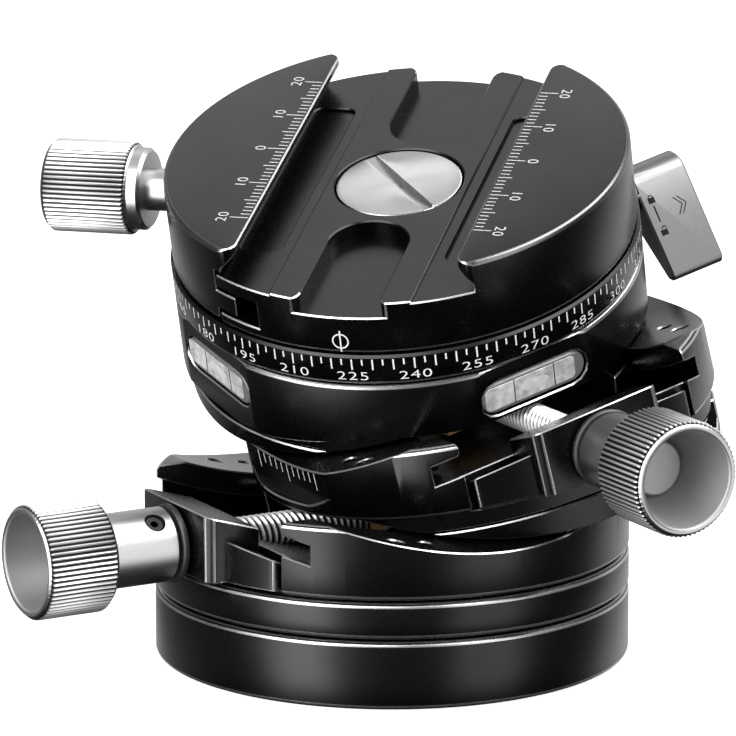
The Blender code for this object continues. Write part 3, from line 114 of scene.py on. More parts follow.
# Worm, rack and thrust ring
WORM_RISE = 4.3 * MM
WORM_R = 2.4 * MM
TOOTH_DEPTH = 0.75 * MM
TOOTH_CLEAR = 0.4 * MM
THREAD_PITCH = 1.5 * MM
THREAD_STARTS = 2
WORM_FRONT = CARRIER_REAR - 0.8 * MM
WORM_BACK = 7.6 * MM
JOURNAL_R = WORM_R - 0.5 * MM
TAIL_R = 1.2 * MM
TAIL_L = 3.8 * MM
THRUST_R = 5.75 * MM
THRUST_T = 1.0 * MM
RACK_HALF = 9.5 * MM
RACK_HALF_L = CARRIER_REAR - 4.3 * MM
RACK_LOW_R = SWING_R + 3.6 * MM
RACK_TOP_RISE = STAGE_PITCH - PLATE_H + 0.9 * MM
RACK_SLOT_HALF = WORM_R + 0.8 * MM
RACK_TEETH_SPAN = 18.3

# Cradle halves, which hang in the grooves of the rails
CRADLE_R = UPPER_PLATE_R
CRADLE_CLEAR = 0.4 * MM
CRADLE_INNER = RACK_HALF + GAP
CRADLE_LEG_T = 3.5 * MM
CLEAR = 0.3 * MM
CRADLE_UNDER_R = SWING_R - CRADLE_CLEAR

# Knobs of the worms
KNOB_R = 8.4 * MM
KNOB_L = 11.2 * MM
KNOB_CHAMFER = 0.7 * MM
NECK_R = 5.5 * MM
LOWER_NECK_L = 11.2 * MM
UPPER_NECK_L = 9.6 * MM
CUP_R = KNOB_R - 1.45 * MM
KNOB_BORE_DEPTH = 8.4 * MM
SET_SCREW_R = 1.3 * MM
SET_SCREW_L = 2.6 * MM
SET_SCREW_BACK = 3.2 * MM

# Pan housing and degree ring
PAN_RISE = LAND_RISE - 0.65 * MM
PAN_PLATE_H = 4.0 * MM
PAN_ARC_R = 117.0 * MM
PAN_ARC_RISE = 3.15 * MM
RING_TALL = 4.8 * MM
RING_SEAT_R = BODY_R - 3.5 * MM
RING_CHAMFER = 0.35 * MM
PAN_FACET = BODY_R - 1.25 * MM
VIAL_L = 17.8 * MM
VIAL_W = 5.0 * MM
VIAL_T = 3.0 * MM
VIAL_SINK = 0.15 * MM
SHAFT_R = 10.0 * MM
SHAFT_FLANGE_R = SHAFT_R + 4.2 * MM
SHAFT_FLANGE_H = 2.2 * MM

# Pan lock lever and its spindle
LEVER_IN = BODY_R + 3.8 * MM
LEVER_OUT = LEVER_IN + 9.4 * MM
LEVER_R = 3.2 * MM
LEVER_TIP_R = 1.0 * MM
LEVER_L = 14.7 * MM
LEVER_HANG = math.radians(45.0)
LEVER_TOWARD = math.atan2(-math.cos(LEVER_HANG), -math.sin(LEVER_HANG))
LEVER_STEPS = 6
LEVER_BOSS_R = 3.7 * MM
SPINDLE_R = 2.5 * MM
SPINDLE_BITE = 5.0 * MM

# Clamp
CLAMP_R = BODY_R - 0.4 * MM
CLAMP_REACH = CLAMP_R + OVERRUN
CLAMP_EDGE = 0.8 * MM
JAW_LIP = 16.6 * MM
JAW_LIP_H = 1.2 * MM
JAW_ROOT = JAW_LIP + 2.4 * MM
JAW_ROOT_H = 1.0 * MM
SPLIT = JAW_ROOT + 1.0 * MM
WINDOW_END = SPLIT - 7.0 * MM
WINDOW_INNER = CLAMP_R - 11.1 * MM
TAB_END = SPLIT - 3.2 * MM
POCKET_HALF = 6.0 * MM
POCKET_DEPTH = 2.4 * MM
RECESS_NEAR = JAW_LIP - 4.2 * MM
RECESS_HALF_L = CLAMP_R - 13.6 * MM
RECESS_DEPTH = 0.8 * MM
SCREW_HEAD_R = 9.4 * MM
SCREW_HEAD_H = 2.0 * MM
POCKET_START = SCREW_HEAD_R + 2.0 * MM
SCREW_SHANK_R = 3.0 * MM
SLOT_W = 1.6 * MM
SLOT_DEPTH = 1.2 * MM
SLOT_TURN = -47.0

# Jaw drive
DRIVE_R = 2.2 * MM
DRIVE_END = SPLIT - 8.6 * MM
CLAMP_NECK_IN = CLAMP_R + 0.5 * MM
CLAMP_KNOB_IN = CLAMP_NECK_IN + 5.9 * MM
CLAMP_KNOB_OUT = CLAMP_KNOB_IN + 13.4 * MM
CLAMP_KNOB_R = 7.0 * MM
CLAMP_COLLAR_R = CLAMP_KNOB_R - 0.8 * MM
CLAMP_COLLAR_T = 2.0 * MM
CLAMP_NECK_R = DRIVE_R + 1.0 * MM
CLAMP_BORE_DEPTH = 9.0 * MM
PIN_R = 1.5 * MM
PIN_OUT = CLAMP_R - 19.1 * MM
PIN_BODY_END = SPLIT - 8.5 * MM
PIN_JAW_END = CLAMP_R - 5.6 * MM
SPRING_R = PIN_R + 0.85 * MM
SPRING_SEAT_R = SPRING_R + 0.6 * MM
SPRING_SEAT_DEPTH = 5.6 * MM

# Heights and radii that follow from the sizes above
LOWER_STAGE_Z = BASE_H + SEAM + RING_H + SEAM
UPPER_STAGE_Z = LOWER_STAGE_Z + STAGE_PITCH
PAN_LOW_Z = UPPER_STAGE_Z + PAN_RISE
SHAFT_FLANGE_LOW = PAN_LOW_Z + 2.95 * MM
VIAL_Z = PAN_LOW_Z + 6.75 * MM
RING_LOW = PAN_LOW_Z + 12.45 * MM
LEVER_Z = RING_LOW - 3.3 * MM
CLAMP_LOW = RING_LOW + RING_TALL + SEAM
HUB_TOP = CLAMP_LOW - GAP - 0.65 * MM - GAP
DECK = CLAMP_LOW + 8.25 * MM
JAW_TOP = DECK + 4.6 * MM
DRIVE_Z = DECK - 3.5 * MM
PIN_Z = DECK - 4.3 * MM
WINDOW_LOW = CLAMP_LOW + 1.55 * MM
WINDOW_HIGH = WINDOW_LOW + 4.3 * MM
THREAD_LEAD = THREAD_PITCH * THREAD_STARTS
WORM_SWING_R = SWING_R + RAIL_RISE - WORM_RISE
TOOTH_TIP_R = WORM_SWING_R - WORM_R + TOOTH_DEPTH - TOOTH_CLEAR
TOOTH_ROOT_R = WORM_SWING_R - WORM_R - TOOTH_CLEAR
PITCH_R = (TOOTH_TIP_R + WORM_SWING_R - WORM_R) / 2
WORM_RATIO = 2 * math.pi * PITCH_R / THREAD_LEAD
ARC_REACH = CARRIER_REACH + OVERRUN
THRUST_START = CARRIER_REACH + GAP
NECK_START = THRUST_START + THRUST_T + GAP
SLOPE_LOW = DECK + JAW_ROOT_H
SLOPE_HIGH = JAW_TOP - JAW_LIP_H

# Finer shapes of the scene
EDGE_STEPS = 6
RIBS = 68
CLAMP_RIBS = 58
RIB_DEPTH = 0.42 * MM
RIB_SHARES = (0, 0.25, 0.8, 1, 0.8, 0.25)
RIM_LIP = 0.25 * MM
CUP_LIP = 0.5 * MM
BOWL_DEPTH = 9.4 * MM
BOWL_STEPS = 14
BOWL_SHARE = 0.6
BUTTON_DOWN = 8.1 * MM
BUTTON_FINE_R = 4.0 * MM
BUTTON_EDGE = 0.4 * MM
THREAD_FINE_SIDES = 32
THREAD_FINE_PITCH = 1.0 * MM
THREAD_FINE_DEPTH = 0.6 * MM
BLOCK_TOP_CUT = 1.4 * MM
JAW_CORNER_R = 1.75 * MM
CORNER_STEPS = 10
POCKET_STEPS = 6
# The round of the jaws' rim that takes the lighter look, a painted highlight: its band as a share of the
# round, and how far up its faces point
RIM_BAND = 1.1
RIM_FACING = (0.05, 0.98)
RIB_BAND = 1.2
LAND_HALF = 10.7 * MM
STRIP_DROP = 0.3 * MM
RECESS_CORNER_R = 1.5 * MM
FLARE_R = 2.0 * MM
ARCH_STEPS = 32
SMOOTH_ANGLE = 30.0
BEVEL = 0.2 * MM
# Low chamfers within this reach keep the plain black, with no painted highlight
DULL_WITHIN = 32.0 * MM
SLOT_CURVE_R = 50.0 * MM
WELD = 0.02 * MM

# Marks: lengths along the ring's height, the facet and the jaws
INK_LIFT = 0.03 * MM
DIGIT_THIN = -0.004
DIGIT_SPACING = 1.12
RING_TICKS = 144
RING_TICK_W = 0.24 * MM
RING_TICK_TOP = 0.15 * MM
RING_TICK_SHORT = 1.0 * MM
RING_TICK_LONG = 1.75 * MM
RING_NUMBERS = 24
RING_DIGIT_H = 1.35 * MM
RING_DIGIT_Z = 3.3 * MM
RING_DIGIT_STRETCH = 1.55
FACET_TICKS = 11
FACET_TICK_PITCH = 1.7 * MM
FACET_TICK_W = 0.26 * MM
FACET_TICK_SHORT = 1.6 * MM
FACET_TICK_LONG = 2.7 * MM
FACET_TICK_TOP = 0.3 * MM
RULER_HALF = 20
RULER_TICK_W = 0.2 * MM
RULER_START = 0.15 * MM
RULER_SHORT = 1.35 * MM
RULER_FIVE = 2.0 * MM
RULER_TEN = 2.75 * MM
RULER_DIGIT_H = 1.6 * MM
RULER_DIGIT_GAP = 0.35 * MM
RULER_DIGIT_STRETCH = 1.1
INDEX_R = 1.15 * MM
INDEX_W = 0.22 * MM
INDEX_HALF_L = 1.75 * MM
INDEX_RISE = 1.9 * MM

# Vials
VIAL_RIM = 0.3 * MM
VIAL_BLOCK_HALF_L = 7.7 * MM
VIAL_BLOCK_ALONG = -0.7 * MM
VIAL_BLOCK_HALF_H = 1.85 * MM
VIAL_BLOCK_CORNER_R = 0.7 * MM
VIAL_BLOCK_UP = 0.1 * MM
VIAL_BLOCK_OUT = 0.12 * MM
VIAL_LINE_W = 0.16 * MM
VIAL_LINE_OUT = 3.45 * MM
BUBBLE_HALF_L = 2.5 * MM
BUBBLE_HALF_H = 0.85 * MM
BUBBLE_OUT = 0.06 * MM
BUBBLE_TOP_SHARE = 0.7

# Lever marks
LEVER_MARK_DOWN = 2.6 * MM
LEVER_MARK_STEP = 2.6 * MM
LEVER_MARK_IN = 1.7 * MM
PADLOCK_W = 1.15 * MM
PADLOCK_H = 0.9 * MM
PADLOCK_R = 0.36 * MM
PADLOCK_STEPS = 12
MARK_W = 0.16 * MM
CHEVRON_REACH = 1.1 * MM
CHEVRON_HALF = 1.4 * MM
CHEVRON_STEP = 0.7 * MM
CHEVRON_IN = 5.2 * MM

# Camera, from the photograph's fit
SENSOR = 36.0
LENS = 301.86
SHIFT_X = -0.0327
SHIFT_Y = 0.0650
TARGET_Z = 0.03496
DISTANCE = 0.9078
AZIMUTH = -29.397
ELEVATION = 13.51

# Floor, and the world's fill for matt surfaces
FLOOR_R = 6.0
FLOOR_DROP = 0.1 * MM
FLOOR_ROUGHNESS = 0.7
WHITE = 0.93
FLOOR_GLOW = 0.75
WORLD_FILL = 0.6

# Softboxes that glossy rays see round the object: degrees right of the camera, and radiance (one is white)
ROUND_SCALE = 8.0
ROUND = (
    (-180, 0.8),
    (-140, 0.3),
    (-100, 0.25),
    (-78, 0.15),
    (-66, 0.6),
    (-54, 7.0),
    (-36, 7.0),
    (-24, 0.9),
    (-12, 0.3),
    (24, 0.2),
    (36, 2.4),
    (56, 2.4),
    (72, 0.2),
    (90, 0.1),
    (112, 0.3),
    (128, 1.0),
    (180, 0.8),
)
# Lamps: a direction, or degrees right and up; then distance, width, height, radiance, and if it is a card
HIGH_LAMPS = (
    ("overhead", (0.12, 0.38, 0.92), 1.1, 1.3, 1.3, 0.6),
    ("back_top", (0.24, 0.66, 0.71), 1.0, 0.5, 0.4, 0.7),
)
SIDE_LAMPS = (
    ("key", -25, 42, 1.1, 0.5, 0.5, 3.0, False),
    ("left_card", -38, 44, 1.1, 1.2, 0.45, 7.5, True),
    ("right_card", 80, 55, 1.1, 1.3, 0.6, 9.0, True),
    ("front_fill", 5, 14, 1.2, 0.9, 0.5, 3.4, False),
)

# Where the studio's round starts to fade, above and below, and what it fades to
ROUND_HIGH = 0.4
ROUND_TOP = 0.7
ROUND_LOW = -0.35
ROUND_BOTTOM = -0.6
UP = 0.35
DOWN = 0.04

# Materials: where a tone's change starts and ends on its field, how roughness varies, features to the
# metre, and how deep and strong the fine bump is
WEAR_SPAN = (0.3, 0.75)
GRAIN_SPAN = (0.25, 0.8)
SOFT_SPAN = (0.3, 0.7)
TURNED_DARK = 0.9
FACED_DARK = 0.93
ANODISED_METAL = 0.95
ANODISED_ROUGH = (-0.03, 0.04)
TURNED_ROUGH = (-0.02, 0.03)
TURNED_DETAIL = 2.0
RIB_COLOUR = (0.72, 0.715, 0.72)
RIB_METAL = 0.9
RIB_ROUGHNESS = 0.36
# Painted shade in the knob ribs' valleys: the colour they darken to, and the shares of the rib's depth where
# the darkening starts and ends
RIB_VALLEY_PAINTED_SHADE = 0.025
RIB_VALLEY_SHARE = 0.8
RIB_CREST_SHARE = 0.12
# Where the worm thread's painted valley shade ends and its painted crest highlight starts, as shares of the
# thread's depth
THREAD_VALLEY_SHARE = 0.75
THREAD_CREST_SHARE = 0.1
INK_BLACK = (0.012, 0.012, 0.012)
ANODISED_GRAIN = 3800.0
METAL_GRAIN = 2600.0
FACED_GRAIN = 3000.0
NOISE_DETAIL = 3.0
WEAR_SCALE = 90.0
WEAR = 1.35
GRAIN_STRENGTH = 0.1
GRAIN_DEPTH = 0.01 * MM

# Which look goes with which slot, and the looks of a piece's other faces by their number
SLOT_LOOKS = {
    "steel": "steel",
    "black_nylon": "nylon",
    "brass": "brass",
    "black_anodised": "black",
    "silver_anodised": "silver",
    "brushed_lever": "lever",
    "vial": "tube",
}
LOOK_SLOTS = {look: slot for slot, look in SLOT_LOOKS.items()}
LOOK_SLOTS.update({"screw": "steel", "thread": "steel", "ink": "black_anodised"})
LOOK_SLOTS.update({"liner": "vial", "bubble": "vial"})
# Other faces' looks: edge and rim are lighter colours that paint highlights on black chamfers and jaw rims;
# the cup and the ribs carry painted shade
SECOND_LOOKS = {"black": ["edge", "rim"], "silver": ["cup", "worm_ribs", "clamp_ribs"]}
RIM = 2
CUP, WORM_RIBS, CLAMP_KNOB_RIBS = 1, 2, 3


def turns(count, start=0.0):
    """Angles of a full circle, in radians."""
    return [start + 2 * math.pi * step / count for step in range(count)]


def arc(centre, radius, first, last, steps):
    """Points along an arc between two angles."""
    angles = [first + (last - first) * step / steps for step in range(steps + 1)]
    return [(centre[0] + radius * math.cos(a), centre[1] + radius * math.sin(a)) for a in angles]


def join_rings(bm, first, second):
    """Faces between two rings of as many points, or a ring and a single point."""
    if len(first) == 1 and len(second) == 1:
        return
    if len(first) < len(second):
        first, second = second, first
    count = len(second)
    for i in range(count):
        a, b = second[i], second[(i + 1) % count]
        if count == 1:
            for c, d in zip(first, first[1:] + first[:1]):
                bm.faces.new((a, c, d))
        else:
            bm.faces.new((a, b, first[(i + 1) % count], first[i]))


def closed(bm):
    bmesh.ops.recalc_face_normals(bm, faces=bm.faces)
    return bm


def ring_at(bm, radius, z, sides):
    """Points in a ring about Z, or a single point on it."""
    if radius == 0:
        return [bm.verts.new((0, 0, z))]
    return [bm.verts.new((radius * math.cos(a), radius * math.sin(a), z)) for a in turns(sides)]


def looped(bm, rings):
    """A closed solid, with each ring joined to the next and the last to the first."""
    for first, second in zip(rings, rings[1:] + rings[:1]):
        join_rings(bm, first, second)
    return closed(bm)


def revolve(profile, sides=SIDES):
    """A turned solid about Z from a closed profile of (radius, height) points."""
    bm = bmesh.new()
    return looped(bm, [ring_at(bm, radius, z, sides) for radius, z in profile])


def wall(radius, low, high, edge):
    """The outside of a turned disc, with both its edges taken off."""
    return [(radius - edge, low), (radius, low + edge), (radius, high - edge), (radius - edge, high)]


def prism(outline, low, high, plane="xy"):
    """An outline of two-number points, pushed from low to high square to its plane."""
    bm = bmesh.new()
    order = {"xy": (0, 1, 2), "xz": (0, 2, 1), "yz": (2, 0, 1)}[plane]
    near, far = ([bm.verts.new([(a, b, h)[i] for i in order]) for a, b in outline] for h in (low, high))
    bm.faces.new(near)
    bm.faces.new(reversed(far))
    join_rings(bm, near, far)
    return closed(bm)


def box(x, y, z):
    """A block from three pairs of limits."""
    return prism([(x[0], y[0]), (x[1], y[0]), (x[1], y[1]), (x[0], y[1])], z[0], z[1])


def slab(low, high):
    """All that lies between two heights, past the body's outside."""
    return box((-REACH, REACH), (-REACH, REACH), (low, high))


def moved(bm, matrix):
    bmesh.ops.transform(bm, matrix=matrix, verts=bm.verts)
    return bm


def shift(x, y, z):
    return Matrix.Translation((x, y, z))


def laid(bm, axis, centre):
    """From a shape about Z to one about a line along X or Z, through centre on the other two axes."""
    if axis == "x":
        return moved(moved(bm, QUARTER_Y), shift(0, *centre))
    return moved(bm, shift(*centre, 0))


def rod(radius, start, end, axis="z", centre=(0, 0), sides=SMALL_SIDES):
    """A round bar from start to end along an axis."""
    return laid(revolve([(0, start), (radius, start), (radius, end), (0, end)], sides), axis, centre)


def stepped_rod(wide, narrow, start, step, end, axis="z", centre=(0, 0), sides=SMALL_SIDES):
    """A bar that is wide from start to step and narrow from there to end, as a screw or a counterbore is."""
    profile = [(0, start), (wide, start), (wide, step), (narrow, step), (narrow, end), (0, end)]
    return laid(revolve(profile, sides), axis, centre)


def to_object(bm, name):
    mesh = bpy.data.meshes.new(name)
    bm.to_mesh(mesh)
    bm.free()
    return linked(name, mesh)


def linked(name, data):
    """A new object in the scene."""
    item = bpy.data.objects.new(name, data)
    bpy.context.scene.collection.objects.link(item)
    return item


def evaluated(item):
    bpy.context.view_layer.update()
    return item.evaluated_get(bpy.context.evaluated_depsgraph_get())


def combine(bm, tools, operation="DIFFERENCE"):
    """The shape after each tool has been cut from it, joined to it or kept in common with it."""
    item = to_object(bm, "work")
    cutters = []
    for tool in tools:
        cutter = to_object(tool, "cutter")
        cutter.hide_render = True
        cutters.append(cutter)
        modifier = item.modifiers.new("cut", "BOOLEAN")
        modifier.operation = operation
        modifier.solver = "EXACT"
        modifier.object = cutter
    final = evaluated(item)
    result = bmesh.new()
    result.from_mesh(final.to_mesh())
    final.to_mesh_clear()
    for leftover in [item, *cutters]:
        bpy.data.objects.remove(leftover, do_unlink=True)
    bmesh.ops.remove_doubles(result, verts=result.verts, dist=GAP / 100)
    bmesh.ops.dissolve_degenerate(result, edges=result.edges, dist=GAP / 100)
    return result


def arc_points(centre_z, radius):
    """Points of an arc that hangs below its centre and ends just outside the body, from -X to +X."""
    span = math.asin(ARC_REACH / radius)
    angles = [span * (2 * step / ARC_STEPS - 1) for step in range(ARC_STEPS + 1)]
    return [(radius * math.sin(a), centre_z - radius * math.cos(a)) for a in angles]


def drum(centre_z, radius, low, high):
    """The inside of a swing arc, from low to high along Y."""
    curve = arc_points(centre_z, radius)
    return prism([*curve, (curve[-1][0], centre_z), (curve[0][0], centre_z)], low, high, "xz")


def arc_band(centre_z, inner, outer, low, high):
    """The space between two swing arcs."""
    return prism([*arc_points(centre_z, outer), *reversed(arc_points(centre_z, inner))], low, high, "xz")


class Stage:
    """One tilt stage. Its rails run along the stage's own X, and its worm carrier is at -X."""

    def __init__(self, name, bottom, plate_r, neck, quarter_turns, tilt):
        self.name = name
        self.bottom = bottom
        self.plate_r = plate_r
        self.neck = neck
        self.turn = Matrix.Rotation(quarter_turns * math.pi / 2, 4, "Z")
        self.centre = bottom + RAIL_RISE + SWING_R
        self.worm_z = bottom + WORM_RISE
        self.worm_angle = WORM_RATIO * math.radians(tilt)

    def level(self, bm):
        """From the stage's own axes to the head's level axes."""
        return moved(bm, self.turn)

    def drum(self, radius, limits=(-REACH, REACH)):
        """The inside of a swing arc about the stage's own centre."""
        return drum(self.centre, radius, *limits)

    def rail_top(self, along):
        return self.centre - math.sqrt(SWING_R**2 - along**2)


def rail_spots():
    """The four rail screws' places in a stage."""
    return [(along * RAIL_SCREW_ALONG, side * RAIL_SCREW_OUT) for along in (-1, 1) for side in (-1, 1)]


def tilt_frame(stage):
    """The arched rails, the channel between them, the grooves and the plate below."""
    bottom = stage.bottom
    low = bottom - PLATE_H
    land = bottom + LAND_RISE
    plate = [(0, low), (stage.plate_r, low), (stage.plate_r, bottom)]
    body = revolve([*plate, *wall(BODY_R, bottom, land, EDGE), (0, land)])
    holes = []
    top = stage.rail_top(RAIL_SCREW_ALONG)
    for along, side in rail_spots():
        oil_along = math.copysign(RAIL_HOLE_ALONG, along)
        for place, radius in (((along, side), RAIL_SCREW_R + GAP), ((oil_along, side), RAIL_SCREW_R)):
            holes.append(rod(radius, top - RAIL_HOLE_DEPTH, top + OVERRUN, centre=place))
    head_top = low + CARRIER_SCREW_HEAD_H + GAP
    wide = CARRIER_SCREW_HEAD_R + GAP
    for side in (-1, 1):
        place = (-CARRIER_SCREW_BACK, side * CARRIER_SCREW_SIDE)
        holes.append(stepped_rod(wide, CARRIER_SCREW_R + GAP, low - OVERRUN, head_top, land, centre=place))
    channel = (-CHANNEL_HALF, CHANNEL_HALF)
    trench = (-CARRIER_REAR, WORM_BACK + TAIL_L + GAP)
    tools = [
        stage.drum(SWING_R),
        stage.drum(GROOVE_OUT_R, channel),
        arc_band(stage.centre, GROOVE_IN_R, GROOVE_OUT_R, -GROOVE_HALF, GROOVE_HALF),
        box((-REACH, GAP - CARRIER_REAR), channel, (bottom, land + OVERRUN)),
        box(trench, (-TRENCH_HALF, TRENCH_HALF), (bottom + TRENCH_FLOOR_RISE, land)),
    ]
    return stage.level(combine(body, tools + holes))


def worm_carrier(stage):
    """The block that holds the worm, with an arm on each side that follows the body's round wall."""
    low = stage.bottom + GAP
    high = stage.bottom + LAND_RISE + OVERRUN
    front, rear = -CARRIER_REACH, -CARRIER_REAR
    side = [(front, BLOCK_CORNER - BLOCK_HALF), (front + BLOCK_CORNER, -BLOCK_HALF), (rear, -BLOCK_HALF)]
    block = prism([*side, *((x, -y) for x, y in reversed(side))], low, high)
    arm_r = BODY_R - ARM_INSET
    sweep = math.asin(ARM_HALF / arm_r)
    arms = arc((0, 0), arm_r, math.pi - sweep, math.pi + sweep, ARC_STEPS)
    arms = prism([*arms, (rear, -ARM_HALF), (rear, ARM_HALF)], low, high)
    outer, inner = (stage.centre - math.sqrt(BLOCK_TOP_R**2 - x**2) for x in (front, rear))
    slope = [(front, outer - BLOCK_TOP_CUT), (rear, inner), (rear, high), (front, high)]
    block = combine(block, [stage.drum(BLOCK_TOP_R), prism(slope, -REACH, REACH, "xz")])
    arms = combine(arms, [stage.drum(ARM_TOP_R)])
    carrier = combine(arms, [block], "UNION")
    place = (0, stage.worm_z)
    tools = [rod(JOURNAL_R + GAP, front - OVERRUN, rear + OVERRUN, "x", place, MEDIUM_SIDES)]
    for side in (-1, 1):
        place = (-CARRIER_SCREW_BACK, side * CARRIER_SCREW_SIDE)
        tools.append(rod(CARRIER_SCREW_R + GAP, low - OVERRUN, low + CARRIER_SCREW_BITE + GAP, centre=place))
    return stage.level(combine(carrier, tools))


def thread(start, end):
    """A V thread of several starts along X, crest up at X = 0, with ends that run out to the root."""
    bm = bmesh.new()
    half = THREAD_FINE_PITCH / 2
    lead = round(THREAD_LEAD / half)
    rows = range(math.floor(start / half) - lead, math.ceil(end / half) + lead)
    columns = []
    for angle in turns(THREAD_FINE_SIDES):
        first = last = None
        column = {}
        for row in rows:
            along = row * half + THREAD_LEAD * (angle / (2 * math.pi) - 0.25)
            crest = start < along < end and row % 2 == 0
            radius = WORM_R if crest else WORM_R - THREAD_FINE_DEPTH
            spot = (min(max(along, start), end), radius * math.cos(angle), radius * math.sin(angle))
            if along <= start:
                first = first or bm.verts.new(spot)
                column[row] = first
            elif along >= end:
                last = last or bm.verts.new(spot)
                column[row] = last
            else:
                column[row] = bm.verts.new(spot)
        columns.append((column, first, last))
    for place, (column, _, _) in enumerate(columns):
        wraps = place == THREAD_FINE_SIDES - 1
        after = columns[0][0] if wraps else columns[place + 1][0]
        offset = lead if wraps else 0
        for row in rows:
            below, above = row + offset, row + 1 + offset
            corners = [column.get(row), column.get(row + 1), after.get(above), after.get(below)]
            if None in corners:
                continue
            kept = [v for i, v in enumerate(corners) if v is not corners[i - 1]]
            if len(set(kept)) == len(kept) and len(kept) > 2:
                bm.faces.new(kept)
    bm.faces.new([first for _, first, _ in columns])
    bm.faces.new([last for _, _, last in reversed(columns)])
    bmesh.ops.triangulate(bm, faces=bm.faces)
    return closed(bm)


def cradle_half(stage, side, high):
    """Half of the cradle: a half-moon over one rail, with a leg and a flange in the rail's groove."""
    low = stage.bottom - PLATE_H
    leg_out = CHANNEL_HALF - CLEAR
    leg_r = GROOVE_OUT_R - CLEAR
    disc = revolve([(0, low), (CRADLE_R, low), (CRADLE_R, high), (0, high)])
    leg = sorted((side * (leg_out - CRADLE_LEG_T), side * leg_out))
    flange = sorted((side * leg_out, side * (GROOVE_HALF - CLEAR)))
    tier = sorted((side * CRADLE_INNER, side * (CRADLE_R + OVERRUN)))
    hook = arc_band(stage.centre, GROOVE_IN_R + CLEAR, leg_r, flange[0] - GAP, flange[1] + GAP)
    hook = combine(hook, [stage.drum(leg_r + OVERRUN, flange)], "INTERSECT")
    kept = combine(stage.drum(CRADLE_UNDER_R, tier), [stage.drum(leg_r, leg), hook], "UNION")
    return stage.level(combine(disc, [kept], "INTERSECT"))


def toothed_slot(stage):
    """The slot down the rack's middle, whose roof is cut into slanting teeth."""
    bm = bmesh.new()
    step = THREAD_PITCH / 2 / PITCH_R
    count = int(math.radians(RACK_TEETH_SPAN) / step)
    lean = RACK_SLOT_HALF * THREAD_LEAD / (2 * math.pi * (WORM_R - TOOTH_DEPTH / 2)) / PITCH_R
    deep = GROOVE_OUT_R + OVERRUN
    end = math.asin(ARC_REACH / deep)
    teeth = [(n * step, TOOTH_ROOT_R if n % 2 == 0 else TOOTH_TIP_R) for n in range(-count, count + 1)]
    rings = []
    for angle, roof in [(-end, TOOTH_ROOT_R), *teeth, (end, TOOTH_ROOT_R)]:
        ring = []
        for side, radius in ((-1, roof), (1, roof), (1, deep), (-1, deep)):
            a = angle - side * lean
            place = (radius * math.sin(a), side * RACK_SLOT_HALF, stage.centre - radius * math.cos(a))
            ring.append(bm.verts.new(place))
        rings.append(ring)
    for first, second in zip(rings, rings[1:]):
        join_rings(bm, first, second)
    bm.faces.new(rings[0])
    bm.faces.new(reversed(rings[-1]))
    bmesh.ops.triangulate(bm, faces=bm.faces)
    return closed(bm)


def rack_block(stage, clearance=0.0):
    """The rack's outside from its flat top down, or with a clearance the seat for it."""
    length = RACK_HALF_L + clearance
    width = RACK_HALF + clearance
    heights = (stage.bottom, stage.bottom + RACK_TOP_RISE + clearance)
    return box((-length, length), (-width, width), heights)


def rack(stage):
    """The brass segment, with a slot for the worm and its teeth in the slot's roof."""
    inside = stage.drum(RACK_LOW_R, (-RACK_HALF_L, RACK_HALF_L))
    block = combine(rack_block(stage), [inside], "INTERSECT")
    return stage.level(combine(block, [toothed_slot(stage)]))


def rack_seat(stage):
    return stage.level(rack_block(stage, GAP))


def base_screw_spots():
    angles = turns(BASE_SCREWS, math.radians(BASE_SCREW_START))
    return [(BASE_SCREW_CIRCLE_R * math.cos(a), BASE_SCREW_CIRCLE_R * math.sin(a)) for a in angles]


def base_plate():
    """The bottom disc: a bushed socket, and four screws from below."""
    body = revolve([(SOCKET_R, 0), *wall(BODY_R, 0, BASE_H, EDGE), (SOCKET_R, BASE_H)])
    top = BASE_H + OVERRUN
    step = BUSH_FLANGE_H + GAP
    tools = [stepped_rod(BUSH_FLANGE_R + GAP, BUSH_R + GAP, -OVERRUN, step, top, sides=MEDIUM_SIDES)]
    step = BASE_SCREW_RECESS + BASE_SCREW_HEAD_H + GAP
    for spot in base_screw_spots():
        hole = stepped_rod(BASE_SCREW_HEAD_R + GAP, BASE_SCREW_R + GAP, -OVERRUN, step, top, centre=spot)
        tools.append(hole)
    return combine(body, tools)


def middle_ring():
    low = BASE_H + SEAM
    high = low + RING_H
    seat = high + SEAM - PLATE_H - GAP
    seat_r = LOWER_PLATE_R + GAP
    outside = wall(BODY_R, low, high, EDGE)
    body = revolve([(RING_BORE_R, low), *outside, (seat_r, high), (seat_r, seat), (RING_BORE_R, seat)])
    holes = [rod(BASE_SCREW_R + GAP, 0, high + OVERRUN, centre=spot) for spot in base_screw_spots()]
    return combine(body, holes)


def base_screw():
    low = BASE_SCREW_RECESS
    top = LOWER_STAGE_Z - PLATE_H + BASE_SCREW_BITE
    screw = stepped_rod(BASE_SCREW_HEAD_R, BASE_SCREW_R, low, low + BASE_SCREW_HEAD_H, top)
    return combine(screw, [rod(HEX_KEY_R, low - OVERRUN, low + HEX_KEY_DEPTH, sides=HEX)])


def mid_frame(stage, lower):
    """The upper stage's frame, with the scale's facet and the arched clearance over the lower rails."""
    facet = BODY_R - FACET_DEPTH
    low = stage.bottom
    step = low + FACET_STEP_RISE
    side = [(-REACH, step), (-facet - FACET_STEP, step), (-facet, low + FACET_LOW_RISE)]
    side += [(-facet, stage.centre), (-REACH, stage.centre)]
    scoop = prism(side, -BLOCK_HALF - OVERRUN, BLOCK_HALF + OVERRUN, "xz")
    plate_cut = arc_band(lower.centre, CRADLE_UNDER_R, GROOVE_OUT_R + OVERRUN, -REACH, REACH)
    plate_cut = combine(plate_cut, [slab(low - PLATE_H - OVERRUN, low - GAP / 10)], "INTERSECT")
    return combine(tilt_frame(stage), [scoop, plate_cut, rack_seat(lower)])


